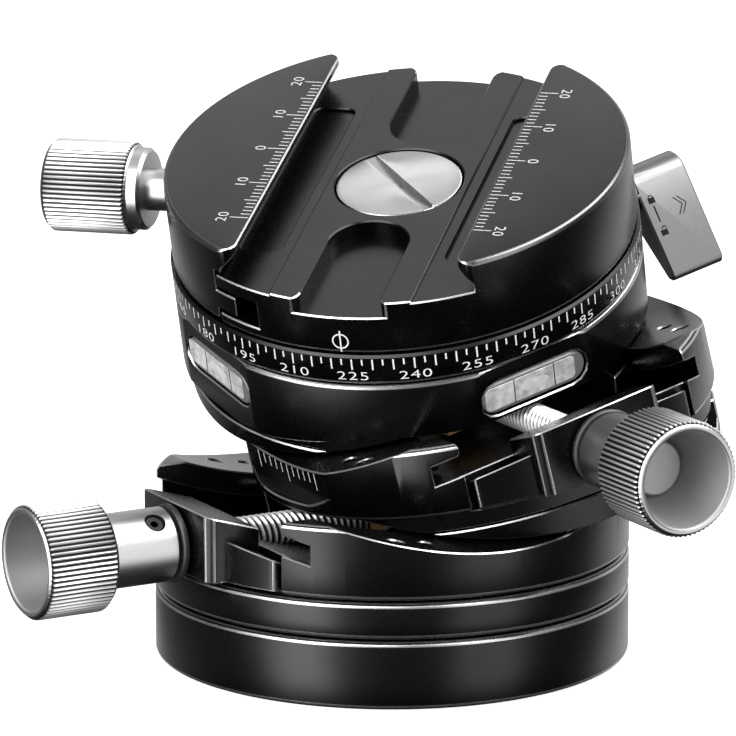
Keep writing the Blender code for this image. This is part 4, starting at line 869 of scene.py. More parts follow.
def pan_housing(stage):
    """The drum under the clamp: vial facets, radial lock bore, hub for the degree ring."""
    low = PAN_LOW_Z - OVERRUN
    top = RING_LOW - SEAM
    room = SHAFT_FLANGE_R + GAP
    room_top = SHAFT_FLANGE_LOW + SHAFT_FLANGE_H + GAP
    seat_r, bore_r = RING_SEAT_R - GAP, SHAFT_R + GAP
    profile = [(room, low), (BODY_R, low), (BODY_R, top - RING_CHAMFER), (BODY_R - RING_CHAMFER, top)]
    profile += [(seat_r, top), (seat_r, HUB_TOP), (bore_r, HUB_TOP), (bore_r, room_top), (room, room_top)]
    arched = drum(PAN_LOW_Z + GAP / 2 + PAN_ARC_R, PAN_ARC_R, -REACH, REACH)
    arched = combine(arched, [slab(PAN_LOW_Z + PAN_ARC_RISE, HUB_TOP + OVERRUN)], "UNION")
    body = combine(revolve(profile), [stage.level(arched)], "INTERSECT")
    plate_top = PAN_LOW_Z + PAN_PLATE_H
    plate = revolve([(room, PAN_LOW_Z), (CRADLE_R, PAN_LOW_Z), (CRADLE_R, plate_top), (room, plate_top)])
    body = combine(body, [combine(plate, [stage.level(stage.drum(CRADLE_UNDER_R))], "INTERSECT")], "UNION")
    facet = (-REACH, -PAN_FACET)
    heights = (low - OVERRUN, top + GAP / 10)
    tools = [rack_seat(stage), box(facet, (-REACH, REACH), heights), box((-REACH, REACH), facet, heights)]
    outline = [(x, VIAL_Z + z) for x, z in stadium(VIAL_L + 2 * GAP, VIAL_W + 2 * GAP, POCKET_STEPS)]
    back = PAN_FACET - VIAL_SINK - VIAL_T - GAP
    tools += [prism(outline, -REACH, -back, "xz"), prism(outline, -REACH, -back, "yz")]
    tools.append(rod(SPINDLE_R + GAP, 0, REACH, "x", (0, LEVER_Z)))
    return combine(body, tools)


def stadium(length, width, steps):
    """A slot shape with round ends, along X, about the origin."""
    points = []
    for end in (1, -1):
        first = -math.pi / 2 * end
        points += arc((end * (length - width) / 2, 0), width / 2, first, first + math.pi, steps)
    return points


def rounded(half_x, half_y, radius):
    """A rectangle with round corners, about the origin."""
    points = []
    for quarter, (x, y) in enumerate(((1, 1), (-1, 1), (-1, -1), (1, -1))):
        first = math.pi / 2 * quarter
        corner = (x * (half_x - radius), y * (half_y - radius))
        points += arc(corner, radius, first, first + math.pi / 2, CORNER_STEPS)
    return points


def degree_ring():
    high = RING_LOW + RING_TALL
    outside = wall(BODY_R, RING_LOW, high, RING_CHAMFER)
    return revolve([(RING_SEAT_R, RING_LOW), *outside, (RING_SEAT_R, high)])


def lock_lever():
    """The paddle of the pan lock, round about its spindle and its tip, with the boss that reaches in."""
    toward = LEVER_TOWARD
    side = math.acos((LEVER_R - LEVER_TIP_R) / LEVER_L)
    tip = (LEVER_L * math.cos(toward), LEVER_Z + LEVER_L * math.sin(toward))
    outline = arc((0, LEVER_Z), LEVER_R, toward + side, toward + 2 * math.pi - side, 2 * LEVER_STEPS)
    outline += arc(tip, LEVER_TIP_R, toward - side, toward + side, LEVER_STEPS)
    blade = prism(outline, LEVER_IN, LEVER_OUT, "yz")
    boss = rod(LEVER_BOSS_R, BODY_R + GAP, LEVER_IN + GAP, "x", (0, LEVER_Z), MEDIUM_SIDES)
    bore = rod(SPINDLE_R + GAP, BODY_R - OVERRUN, LEVER_IN + SPINDLE_BITE + GAP, "x", (0, LEVER_Z))
    return combine(combine(blade, [boss], "UNION"), [bore])


def pocket_outline():
    """The deck's pocket, from its round end to its flared mouth."""
    mouth = math.sqrt(CLAMP_R**2 - POCKET_HALF**2) - FLARE_R
    flare = arc((POCKET_HALF + FLARE_R, mouth), FLARE_R, math.pi / 2, math.pi, CORNER_STEPS)
    half = [(POCKET_HALF + FLARE_R, CLAMP_REACH), *flare]
    round_end = arc((0, POCKET_START + POCKET_HALF), POCKET_HALF, 0, -math.pi, ARCH_STEPS)
    return half + round_end + [(-x, y) for x, y in reversed(half)]


def clamp_disc(low, high):
    """The clamp's full round, with a rounded upper rim."""
    rim = arc((CLAMP_R - CLAMP_EDGE, high - CLAMP_EDGE), CLAMP_EDGE, 0, math.pi / 2, EDGE_STEPS)
    return revolve([(0, low), (CLAMP_R - RIM_LIP, low), (CLAMP_R, low + RIM_LIP), *rim, (0, high)])


def corner_cut(side, end):
    """What rounds a jaw's corner, seen from above, down to the deck."""
    inside = JAW_LIP - OVERRUN
    x = JAW_LIP + JAW_CORNER_R
    y = math.sqrt((CLAMP_R - JAW_CORNER_R) ** 2 - x**2)
    last = math.atan2(y, x)
    points = arc((x, y), JAW_CORNER_R, math.pi, last, CORNER_STEPS)
    points.append((CLAMP_REACH * math.cos(last), CLAMP_REACH * math.sin(last)))
    points += [(inside, CLAMP_REACH), (inside, y)]
    return prism([(side * px, end * py) for px, py in points], DECK + GAP, JAW_TOP + OVERRUN)


def clamp_body():
    """The clamp's deck and its fixed jaw, with pockets, windows, the screw's seat and the drive's bores."""
    high = DECK + OVERRUN
    left = -SPLIT - OVERRUN
    strip = (DECK - STRIP_DROP, DECK + GAP)
    above = JAW_TOP + OVERRUN
    channel = [(left, above), (left, DECK), (JAW_ROOT, DECK), (JAW_ROOT, SLOPE_LOW), (JAW_LIP, SLOPE_HIGH)]
    tools = [
        prism([*channel, (JAW_LIP, above)], -CLAMP_REACH, CLAMP_REACH, "xz"),
        box((LAND_HALF, JAW_ROOT), (-CLAMP_REACH, CLAMP_REACH), strip),
        box((left, -LAND_HALF), (-CLAMP_REACH, CLAMP_REACH), strip),
        box((-CLAMP_REACH, -SPLIT), (-CLAMP_REACH, CLAMP_REACH), (CLAMP_LOW - OVERRUN, above)),
    ]
    for end in (-1, 1):
        tools.append(prism([(x, end * y) for x, y in pocket_outline()], DECK - POCKET_DEPTH, high))
    width = JAW_ROOT - GAP - RECESS_NEAR
    middle = (JAW_ROOT - GAP + RECESS_NEAR) / 2
    recess = rounded(width / 2, RECESS_HALF_L, RECESS_CORNER_R)
    for side in (-1, 1):
        tools.append(prism([(side * middle + x, y) for x, y in recess], DECK - RECESS_DEPTH, DECK + GAP))
    seat = DECK - SCREW_HEAD_H - GAP
    wide, narrow = SCREW_HEAD_R + GAP, SCREW_SHANK_R + GAP
    tools.append(stepped_rod(wide, narrow, high, seat, CLAMP_LOW - OVERRUN, sides=MEDIUM_SIDES))
    tools.append(rod(DRIVE_R + GAP, left, GAP - DRIVE_END, "x", (0, DRIVE_Z)))
    for end in (-1, 1):
        window = sorted((end * WINDOW_INNER, end * CLAMP_REACH))
        tools.append(box((-CLAMP_REACH, -WINDOW_END), window, (WINDOW_LOW, WINDOW_HIGH)))
        tools.append(rod(PIN_R + GAP, left, GAP - PIN_BODY_END, "x", (end * PIN_OUT, PIN_Z)))
    body = combine(clamp_disc(CLAMP_LOW, JAW_TOP), tools)
    return rimmed(combine(body, [corner_cut(1, -1), corner_cut(1, 1)]))


def moving_jaw():
    """The jaw that slides along -X: a full-height D with a lip over the deck and two tabs in the windows."""
    face = SPLIT + GAP
    low, deck = CLAMP_LOW + GAP, DECK + GAP
    section = [(-CLAMP_REACH, low), (-face, low), (-face, deck), (-JAW_ROOT, deck), (-JAW_ROOT, SLOPE_LOW)]
    section += [(-JAW_LIP, SLOPE_HIGH), (-JAW_LIP, JAW_TOP), (-CLAMP_REACH, JAW_TOP)]
    tab_heights = (WINDOW_LOW + GAP + GAP, WINDOW_HIGH - GAP - GAP)
    tabs = []
    for end in (-1, 1):
        sides = sorted((end * (WINDOW_INNER + GAP), end * CLAMP_REACH))
        tabs.append(box((-face - OVERRUN, -TAB_END), sides, tab_heights))
    shape = combine(prism(section, -CLAMP_REACH, CLAMP_REACH, "xz"), tabs, "UNION")
    jaw = combine(clamp_disc(low, JAW_TOP), [shape], "INTERSECT")
    start = OVERRUN - SPLIT
    tools = [rod(DRIVE_R + GAP, -CLAMP_REACH, start, "x", (0, DRIVE_Z))]
    for end in (-1, 1):
        place = (end * PIN_OUT, PIN_Z)
        seat = -face - SPRING_SEAT_DEPTH
        tools.append(stepped_rod(SPRING_SEAT_R, PIN_R + GAP, start, seat, -PIN_JAW_END - GAP, "x", place))
    return rimmed(combine(combine(jaw, tools), [corner_cut(-1, -1), corner_cut(-1, 1)]))


def swing(centre_z, degrees, axis):
    """A turn about a line that crosses Z at a height."""
    return shift(0, 0, centre_z) @ Matrix.Rotation(math.radians(degrees), 4, axis) @ shift(0, 0, -centre_z)


def feed(tree, node, socket, value):
    """Sets an input: value is a number, a colour, or a (node, output) pair to link from."""
    if isinstance(value, tuple) and isinstance(value[0], bpy.types.Node):
        tree.links.new(value[0].outputs[value[1]], node.inputs[socket])
    else:
        node.inputs[socket].default_value = value


def add_node(tree, kind, inputs=None, **settings):
    node = tree.nodes.new("ShaderNode" + kind)
    for setting, value in settings.items():
        setattr(node, setting, value)
    for socket, value in (inputs or {}).items():
        feed(tree, node, socket, value)
    return node


def shader_of(name, colour, metallic, roughness, **sockets):
    """A new node material, its tree and its Principled shader, with single values set on its own sockets."""
    material = bpy.data.materials.new(name)
    material.use_nodes = True
    tree = material.node_tree
    shader = tree.nodes["Principled BSDF"]
    values = {"Base Color": (*colour, 1.0), "Metallic": metallic, "Roughness": roughness}
    values.update({socket.replace("_", " "): value for socket, value in sockets.items()})
    for socket, value in values.items():
        feed(tree, shader, socket, value)
    return material, tree, shader


def maths(tree, operation, *values):
    return add_node(tree, "Math", dict(enumerate(values)), operation=operation), "Value"


def smooth(tree, value, low, high, first, last):
    """A value eased from first to last while the given one goes from low to high."""
    limits = {"From Min": low, "From Max": high, "To Min": first, "To Max": last}
    return add_node(tree, "MapRange", {**limits, "Value": value}, interpolation_type="SMOOTHSTEP"), "Result"


def tint(tree, shader, field, span, first, last):
    """The shader's colour goes from first to last while a field goes through a span."""
    node = add_node(tree, "ValToRGB", {"Fac": field})
    for element, place, colour in zip(node.color_ramp.elements, span, (first, last)):
        element.position = place
        element.color = (*colour, 1.0)
    feed(tree, shader, "Base Color", (node, "Color"))


def roughen(tree, shader, field, roughness, change):
    """The shader's roughness changes with a field, from a little under to a little over a value."""
    limits = {"To Min": roughness + change[0], "To Max": roughness + change[1]}
    spread = add_node(tree, "MapRange", {"Value": field, **limits})
    feed(tree, shader, "Roughness", (spread, "Result"))


def bump(tree, shader, field, strength=GRAIN_STRENGTH, distance=GRAIN_DEPTH):
    node = add_node(tree, "Bump", {"Height": field, "Strength": strength, "Distance": distance})
    feed(tree, shader, "Normal", (node, "Normal"))


def own_place(tree):
    return add_node(tree, "TexCoord"), "Object"


def noise(tree, scale):
    """Noise on the object's own coordinates, in features to the metre."""
    inputs = {"Vector": own_place(tree), "Scale": scale, "Detail": NOISE_DETAIL}
    return add_node(tree, "TexNoise", inputs), "Fac"


def reach_from(tree, axis):
    """How far a point lies from one of the object's own axes."""
    scale = tuple(0.0 if name == axis else 1.0 for name in "xyz")
    across = add_node(tree, "Mapping", {"Vector": own_place(tree), "Scale": scale})
    return add_node(tree, "VectorMath", {"Vector": (across, "Vector")}, operation="LENGTH"), "Value"


def times(share, colour):
    return tuple(share * part for part in colour)


def anodised(name, colour, roughness):
    """Dull metal with a fine grain, worn lighter in soft patches."""
    material, tree, shader = shader_of(name, colour, ANODISED_METAL, roughness)
    grain = noise(tree, ANODISED_GRAIN)
    roughen(tree, shader, grain, roughness, ANODISED_ROUGH)
    tint(tree, shader, noise(tree, WEAR_SCALE), WEAR_SPAN, colour, times(WEAR, colour))
    bump(tree, shader, grain, distance=2 * GRAIN_DEPTH)
    return material


def turned(name, colour, roughness, pitch, strength):
    """Bare or silver metal that was turned about the object's own Z, so its marks are rings."""
    material, tree, shader = shader_of(name, colour, 1.0, roughness)
    parts = add_node(tree, "SeparateXYZ", {"Vector": own_place(tree)})
    spot = add_node(tree, "CombineXYZ", {"X": reach_from(tree, "z"), "Y": (parts, "Z")})
    marks = {"Vector": (spot, "Vector"), "Scale": 1 / pitch, "Detail": TURNED_DETAIL}
    rings = add_node(tree, "TexNoise", marks, noise_dimensions="2D")
    roughen(tree, shader, (rings, "Fac"), roughness, TURNED_ROUGH)
    tint(tree, shader, noise(tree, METAL_GRAIN), GRAIN_SPAN, times(TURNED_DARK, colour), colour)
    bump(tree, shader, (rings, "Fac"), strength)
    return material


def faced(name, colour, roughness, pull):
    """Steel that was faced on a lathe: its highlights are wedges about the object's own Z."""
    material, tree, shader = shader_of(name, colour, 1.0, roughness, Anisotropic=pull)
    feed(tree, shader, "Tangent", (add_node(tree, "Tangent", direction_type="RADIAL", axis="Z"), "Tangent"))
    tint(tree, shader, noise(tree, FACED_GRAIN), GRAIN_SPAN, times(FACED_DARK, colour), colour)
    return material


def valleyed(name, colour, valley, metallic, roughness, axis, low, high):
    """Metal with painted shade that darkens it towards its valleys, by the distance from one of the object's
    own axes.
    """
    material, tree, shader = shader_of(name, colour, metallic, roughness)
    rise = smooth(tree, reach_from(tree, axis), low, high, 0.0, 1.0)
    tint(tree, shader, rise, (0.0, 1.0), (valley, valley, valley), colour)
    bump(tree, shader, noise(tree, METAL_GRAIN))
    return material


def ribs_look(name, radius):
    low, high = radius - RIB_VALLEY_SHARE * RIB_DEPTH, radius - RIB_CREST_SHARE * RIB_DEPTH
    return valleyed(name, RIB_COLOUR, RIB_VALLEY_PAINTED_SHADE, RIB_METAL, RIB_ROUGHNESS, "z", low, high)


def plain_look(name, colour, metallic, roughness, grain, change, **sockets):
    """A material with a soft change of tone and a fine bump."""
    material, tree, shader = shader_of(name, colour, metallic, roughness, **sockets)
    field = noise(tree, grain)
    tint(tree, shader, field, SOFT_SPAN, times(1 - change, colour), colour)
    bump(tree, shader, field)
    return material


def make_looks():
    """Every look: name, colour and roughness, or for a plain one also metallic, grain and change of tone."""
    root = WORM_R - THREAD_VALLEY_SHARE * THREAD_FINE_DEPTH
    crest = WORM_R - THREAD_CREST_SHARE * THREAD_FINE_DEPTH
    return {
        "black": anodised("black_anodised", (0.019, 0.019, 0.020), 0.27),
        # Lighter chamfers: a painted highlight along the black pieces' edges
        "edge": anodised("painted_highlight_edge", (0.36, 0.36, 0.365), 0.30),
        # The jaws' rounded rim in a lighter colour: a painted highlight on top of the lamps' real one
        "rim": anodised("painted_highlight_rim", (0.11, 0.11, 0.112), 0.26),
        "silver": turned("silver_anodised", (0.44, 0.435, 0.44), 0.34, 0.09 * MM, 0.06),
        # The bowl's rougher finish is its own, and its colour, darker than the silver, is painted shade in
        # the bowl
        "cup": plain_look("silver_cup_painted_shade", (0.38, 0.377, 0.38), 1.0, 0.62, METAL_GRAIN, 0.06),
        # Knob ribs: painted shade darkens their valleys
        "worm_ribs": ribs_look("worm_knob_ribs", KNOB_R),
        "clamp_ribs": ribs_look("clamp_knob_ribs", CLAMP_KNOB_R),
        "steel": turned("bright_steel", (0.66, 0.66, 0.67), 0.22, 0.2 * MM, 0.3),
        "brass": plain_look("brass", (0.92, 0.55, 0.20), 0.3, 0.38, 900.0, 0.15),
        # Worm thread: crests lighter than the bare steel, a painted highlight, and valleys darkened to
        # painted shade
        "thread": valleyed("worm_steel", (0.95, 0.95, 0.96), 0.02, 0.5, 0.3, "x", root, crest),
        "nylon": plain_look("black_nylon", (0.022, 0.022, 0.022), 0.0, 0.45, 1500.0, 0.3),
        "lever": plain_look("brushed_lever", (0.16, 0.159, 0.158), 0.95, 0.32, 1800.0, 0.08),
        "screw": faced("faced_steel", (0.50, 0.50, 0.51), 0.25, 0.85),
        "ink": plain_look("white_ink", (0.93, 0.93, 0.92), 0.0, 0.6, 2500.0, 0.06),
        "dark_ink": plain_look("black_ink", INK_BLACK, 0.0, 0.6, 2500.0, 0.3, Specular_IOR_Level=0.1),
        "liner": plain_look("vial_liner", (0.26, 0.26, 0.27), 0.2, 0.4, 420.0, 0.25),
        "tube": plain_look("vial_tube", (0.99, 0.98, 0.99), 0.0, 0.12, 700.0, 0.5, Coat_Weight=1.0),
        "bubble": plain_look("vial_bubble", (0.99, 0.99, 0.99), 0.0, 0.08, 800.0, 0.15, Coat_Weight=1.0),
    }


def centres(bm):
    """Each face with its middle and the middle's distance from Z."""
    for face in bm.faces:
        middle = face.calc_center_median()
        yield face, middle, math.hypot(middle.x, middle.y)


def marked(bm, back, front, outer, ribs, cup=0.0):
    """Gives a knob's ribs, and its bowl within a radius, materials of their own."""
    half = KNOB_CHAMFER / 2
    for face, middle, reach in centres(bm):
        if back + half < middle.z < front - half and reach > outer - RIB_BAND * RIB_DEPTH:
            face.material_index = ribs
        elif middle.z > KNOB_BORE_DEPTH and reach < cup:
            face.material_index = CUP


def rimmed(bm):
    """The same jaw with the round of its outer rim in a lighter material of its own, a painted highlight."""
    within = RIM_BAND * CLAMP_EDGE
    for face, middle, reach in centres(bm):
        round_edge = RIM_FACING[0] < face.normal.z < RIM_FACING[1]
        if reach > CLAMP_R - within and middle.z > JAW_TOP - within and round_edge:
            face.material_index = RIM
    return bm


def joined(bm, others):
    """One mesh from several, each left as it is."""
    for other in others:
        holder = bpy.data.meshes.new("holder")
        other.to_mesh(holder)
        other.free()
        bm.from_mesh(holder)
        bpy.data.meshes.remove(holder)
    return bm


def chamfered(bm, width, below, dull_below):
    """Flat chamfers along the outer sharp edges, in a lighter look that paints their highlight, but for those
    that are low and far in.
    """
    limit = math.radians(SMOOTH_ANGLE)
    sharp = []
    for edge in bm.edges:
        if edge.is_manifold and edge.calc_face_angle_signed() > limit and edge.verts[0].co.z < below:
            sharp.append(edge)
    bmesh.ops.bevel(bm, geom=sharp, offset=width, segments=1, profile=0.5, affect="EDGES", material=1)
    for face, middle, reach in centres(bm):
        if middle.z < dull_below and reach < DULL_WITHIN:
            face.material_index = 0


def fine(name, bm, look, body, nodes=(), at=None, slot=None, bevel=0.0, below=1.0, dull_below=0.0):
    """A finished piece, made in the level layout or in a frame of its own, that rides on a body."""
    bmesh.ops.remove_doubles(bm, verts=bm.verts, dist=WELD)
    if bevel:
        chamfered(bm, bevel, below, dull_below)
    item = to_object(bm, name)
    for layer in [look, *SECOND_LOOKS.get(look, [look])]:
        item.data.materials.append(LOOKS[layer])
    item.data.shade_smooth()
    item.data.set_sharp_from_angle(angle=math.radians(SMOOTH_ANGLE))
    item.matrix_world = PLACES[body] @ (at or Matrix())
    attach(item, body)
    slot or LOOK_SLOTS[look]
    if nodes:
        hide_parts(*nodes)


def dressed(node, made, bm, look, body, at=None, **more):
    """A finished piece in place of the node that it is named after."""
    fine(f"{node}_{made}", bm, look, body, [node], at, **more)


def milled(node, bm, body, **more):
    """A black piece whose chamfered edges carry a painted highlight, in place of a node."""
    dressed(node, "milled", bm, "black", body, bevel=BEVEL, **more)


def knob_profile(front, head):
    """The inside of a knob from its rim: a rounded lip, a bowl, a button, then the bore and the neck."""
    profile = arc((CUP_R + CUP_LIP, front - CUP_LIP), CUP_LIP, math.pi / 2, math.pi, EDGE_STEPS)
    deep = BOWL_DEPTH - CUP_LIP
    for step in range(1, BOWL_STEPS):
        share = step / BOWL_STEPS
        r = BUTTON_FINE_R + (CUP_R - BUTTON_FINE_R) * (1 - share) ** BOWL_SHARE
        profile.append((r, front - CUP_LIP - deep * share))
    profile.append((BUTTON_FINE_R, front - BOWL_DEPTH))
    button = front - BUTTON_DOWN
    edge = (BUTTON_FINE_R - BUTTON_EDGE, button - BUTTON_EDGE)
    profile += arc(edge, BUTTON_EDGE, 0, math.pi / 2, EDGE_STEPS)
    bore_r = JOURNAL_R + GAP
    profile += [(0, button), (0, KNOB_BORE_DEPTH), (bore_r, KNOB_BORE_DEPTH), (bore_r, 0)]
    return profile + [(NECK_R - EDGE, 0), (NECK_R, EDGE), (NECK_R, head - RIM_LIP), (NECK_R + RIM_LIP, head)]


def ribbed(radius, back, front, ribs, inner):
    """A knob about Z with straight ribs that run out on its chamfers; inner is the rest of its profile."""
    bm = bmesh.new()
    count = ribs * len(RIB_SHARES)
    valley, slope = radius - RIB_DEPTH, KNOB_CHAMFER - RIB_DEPTH

    def ribs_at(z):
        depths = [RIB_DEPTH * RIB_SHARES[step % len(RIB_SHARES)] for step in range(count)]
        spots = [(radius - depth, a) for depth, a in zip(depths, turns(count))]
        return [bm.verts.new((r * math.cos(a), r * math.sin(a), z)) for r, a in spots]

    rings = [
        ring_at(bm, radius - KNOB_CHAMFER, back, count),
        ring_at(bm, valley, back + slope, count),
        ribs_at(back + KNOB_CHAMFER),
        ribs_at(front - KNOB_CHAMFER),
        ring_at(bm, valley, front - slope, count),
        ring_at(bm, radius - KNOB_CHAMFER, front, count),
    ]
    return looped(bm, rings + [ring_at(bm, r, z, count) for r, z in inner])


def make_knob(stage, body):
    """A worm's knob and its set screw, in a frame whose Z points out along the worm from the neck's back."""
    front = stage.neck + KNOB_L
    bm = ribbed(KNOB_R, stage.neck, front, RIBS, knob_profile(front, stage.neck))
    place = (0, SET_SCREW_BACK)
    bm = combine(bm, [rod(SET_SCREW_R + GAP, 0, NECK_R + OVERRUN, "x", place)])
    marked(bm, stage.neck, front, KNOB_R, WORM_RIBS, CUP_R + CUP_LIP / 2)
    spin = Matrix.Rotation(stage.worm_angle, 4, "X")
    at = stage.turn @ shift(0, 0, stage.worm_z) @ spin @ shift(-NECK_START, 0, 0) @ QUARTER_BACK
    dressed(f"{stage.name}_knob", "turned", bm, "silver", body, at)
    outer = NECK_R - EDGE
    screw = rod(SET_SCREW_R, outer - SET_SCREW_L, outer, "x", place)
    screw = combine(screw, [rod(SET_SCREW_R / 2, outer - SET_SCREW_L / 2, NECK_R, "x", place, HEX)])
    fine(f"{stage.name}_grub_screw", screw, "black", body, [f"{stage.name}_set_screw"], at, "steel")


def make_worm(stage, body):
    """The threaded worm with its plain journals."""
    tip = NECK_START + KNOB_BORE_DEPTH - GAP
    bm = thread(-WORM_FRONT, WORM_BACK)
    joined(bm, [rod(JOURNAL_R, -tip, -WORM_FRONT, "x"), rod(TAIL_R, WORM_BACK, WORM_BACK + TAIL_L, "x")])
    moved(bm, Matrix.Rotation(stage.worm_angle, 4, "X"))
    dressed(f"{stage.name}_worm", "cut", bm, "thread", body, stage.turn @ shift(0, 0, stage.worm_z))


def make_thrust_ring(stage, body):
    bore_r = JOURNAL_R + GAP
    bm = revolve([(bore_r, 0), *wall(THRUST_R, 0, THRUST_T, RIM_LIP), (bore_r, THRUST_T)], MEDIUM_SIDES)
    at = stage.turn @ shift(-THRUST_START, 0, stage.worm_z) @ QUARTER_BACK
    dressed(f"{stage.name}_thrust_ring", "turned", bm, "nylon", body, at)


def make_rail_screws(stage, body):
    """Domed pins in the rails' tops."""
    top = stage.rail_top(RAIL_SCREW_ALONG) - GAP
    low = top - RAIL_SCREW_H
    steps = [math.pi / 2 * step / EDGE_STEPS for step in range(EDGE_STEPS)]
    dome = [(RAIL_SCREW_R * math.cos(a), top - RAIL_SCREW_R / 2 * (1 - math.sin(a))) for a in steps]
    for number, (along, side) in enumerate(rail_spots(), start=1):
        bm = revolve([(0, low), (RAIL_SCREW_R, low), *dome, (0, top)], SMALL_SIDES)
        at = stage.turn @ shift(along, side, 0)
        dressed(f"{stage.name}_rail_screw_{number}", "domed", bm, "steel", body, at)


def make_stage(stage, fixed, swung, drive, cradle_top):
    milled(f"{stage.name}_worm_carrier", worm_carrier(stage), fixed)
    for which, side in (("left", -1), ("right", 1)):
        milled(f"{stage.name}_cradle_{which}", cradle_half(stage, side, cradle_top), swung)
    dressed(f"{stage.name}_rack", "milled", rack(stage), "brass", swung)
    make_thrust_ring(stage, fixed)
    make_rail_screws(stage, fixed)
    make_worm(stage, drive)
    make_knob(stage, drive)


def make_base():
    """The fixed pieces below the lower stage, and that stage's frame."""
    dressed("base_plate", "turned", base_plate(), "black", "base", bevel=BEVEL)
    dressed("middle_ring", "turned", middle_ring(), "black", "base", bevel=BEVEL)
    inside = []
    for number in range(int(BUSH_H / BUSH_PITCH), 0, -1):
        inside.append((SOCKET_R, number * BUSH_PITCH))
        inside.append((SOCKET_R + BUSH_PITCH / 3, (number - 0.5) * BUSH_PITCH))
    profile = [(SOCKET_R, 0), (BUSH_FLANGE_R - RIM_LIP, 0), (BUSH_FLANGE_R, RIM_LIP)]
    profile += [(BUSH_FLANGE_R, BUSH_FLANGE_H), (BUSH_R, BUSH_FLANGE_H), (BUSH_R, BUSH_H), (SOCKET_R, BUSH_H)]
    bush = revolve(profile + inside, MEDIUM_SIDES)
    fine("tripod_bush_threaded", bush, "steel", "base", ["tripod_socket_bush"])
    for number, spot in enumerate(base_screw_spots(), start=1):
        dressed(f"base_screw_{number}", "turned", base_screw(), "steel", "base", shift(*spot, 0))
    milled("lower_frame", tilt_frame(LOWER), "base")


def lofted(outlines, depths):
    """Walls through like outlines in the XZ plane, each at its own Y, closed at both ends."""
    bm = bmesh.new()
    rings = [[bm.verts.new((x, y, z)) for x, z in outline] for outline, y in zip(outlines, depths)]
    for first, second in zip(rings, rings[1:]):
        join_rings(bm, first, second)
    bm.faces.new(rings[0])
    bm.faces.new(rings[-1])
    return closed(bm)


def bubble_vial(which, turn):
    """A vial with its bevelled rim, the block that the tube shows as, its two lines and its bubble."""
    at = turn @ shift(0, 0, VIAL_Z)
    face = VIAL_SINK - PAN_FACET
    front = face - VIAL_BLOCK_OUT
    full = stadium(VIAL_L, VIAL_W, CORNER_STEPS)
    small = stadium(VIAL_L - 2 * VIAL_RIM, VIAL_W - 2 * VIAL_RIM, CORNER_STEPS)
    body = lofted([full, full, small], [face + VIAL_T, face + VIAL_RIM, face])
    dressed(f"{which}_vial", "body", body, "liner", "pan_base", at)
    block = rounded(VIAL_BLOCK_HALF_L, VIAL_BLOCK_HALF_H, VIAL_BLOCK_CORNER_R)
    block = prism([(x + VIAL_BLOCK_ALONG, z + VIAL_BLOCK_UP) for x, z in block], front, face - GAP / 10, "xz")
    fine(f"{which}_vial_tube", block, "tube", "pan_base", (), at, bevel=VIAL_BLOCK_OUT / 2)
    lines = bmesh.new()
    heights = (VIAL_BLOCK_UP - VIAL_BLOCK_HALF_H, VIAL_BLOCK_UP + VIAL_BLOCK_HALF_H)
    for x in (-VIAL_LINE_OUT, VIAL_LINE_OUT):
        left, right = x - VIAL_LINE_W / 2, x + VIAL_LINE_W / 2
        outline = [(left, heights[0]), (right, heights[0]), (right, heights[1]), (left, heights[1])]
        joined(lines, [prism(outline, front - INK_LIFT, front + INK_LIFT, "xz")])
    fine(f"{which}_vial_lines", lines, "dark_ink", "pan_base", (), at, "vial")
    ovals = []
    for share in (1.0, BUBBLE_TOP_SHARE):
        long, tall = share * BUBBLE_HALF_L, share * BUBBLE_HALF_H
        ovals.append([(long * math.cos(a), VIAL_BLOCK_UP + tall * math.sin(a)) for a in turns(SMALL_SIDES)])
    bubble = lofted(ovals, [front - INK_LIFT, front - BUBBLE_OUT])
    fine(f"{which}_vial_bubble", bubble, "bubble", "pan_base", (), at)


def make_pan():
    milled("pan_housing", pan_housing(UPPER), "pan_base")
    middle = RING_LOW + RING_TALL / 2
    dressed("degree_ring", "turned", degree_ring(), "black", "pan_base", bevel=BEVEL, below=middle)
    bubble_vial("front", Matrix())
    bubble_vial("side", Matrix.Rotation(-math.pi / 2, 4, "Z"))
    fine("pan_lever_milled", lock_lever(), "lever", "pan_lock", ["pan_lock_lever"], bevel=2 * BEVEL)


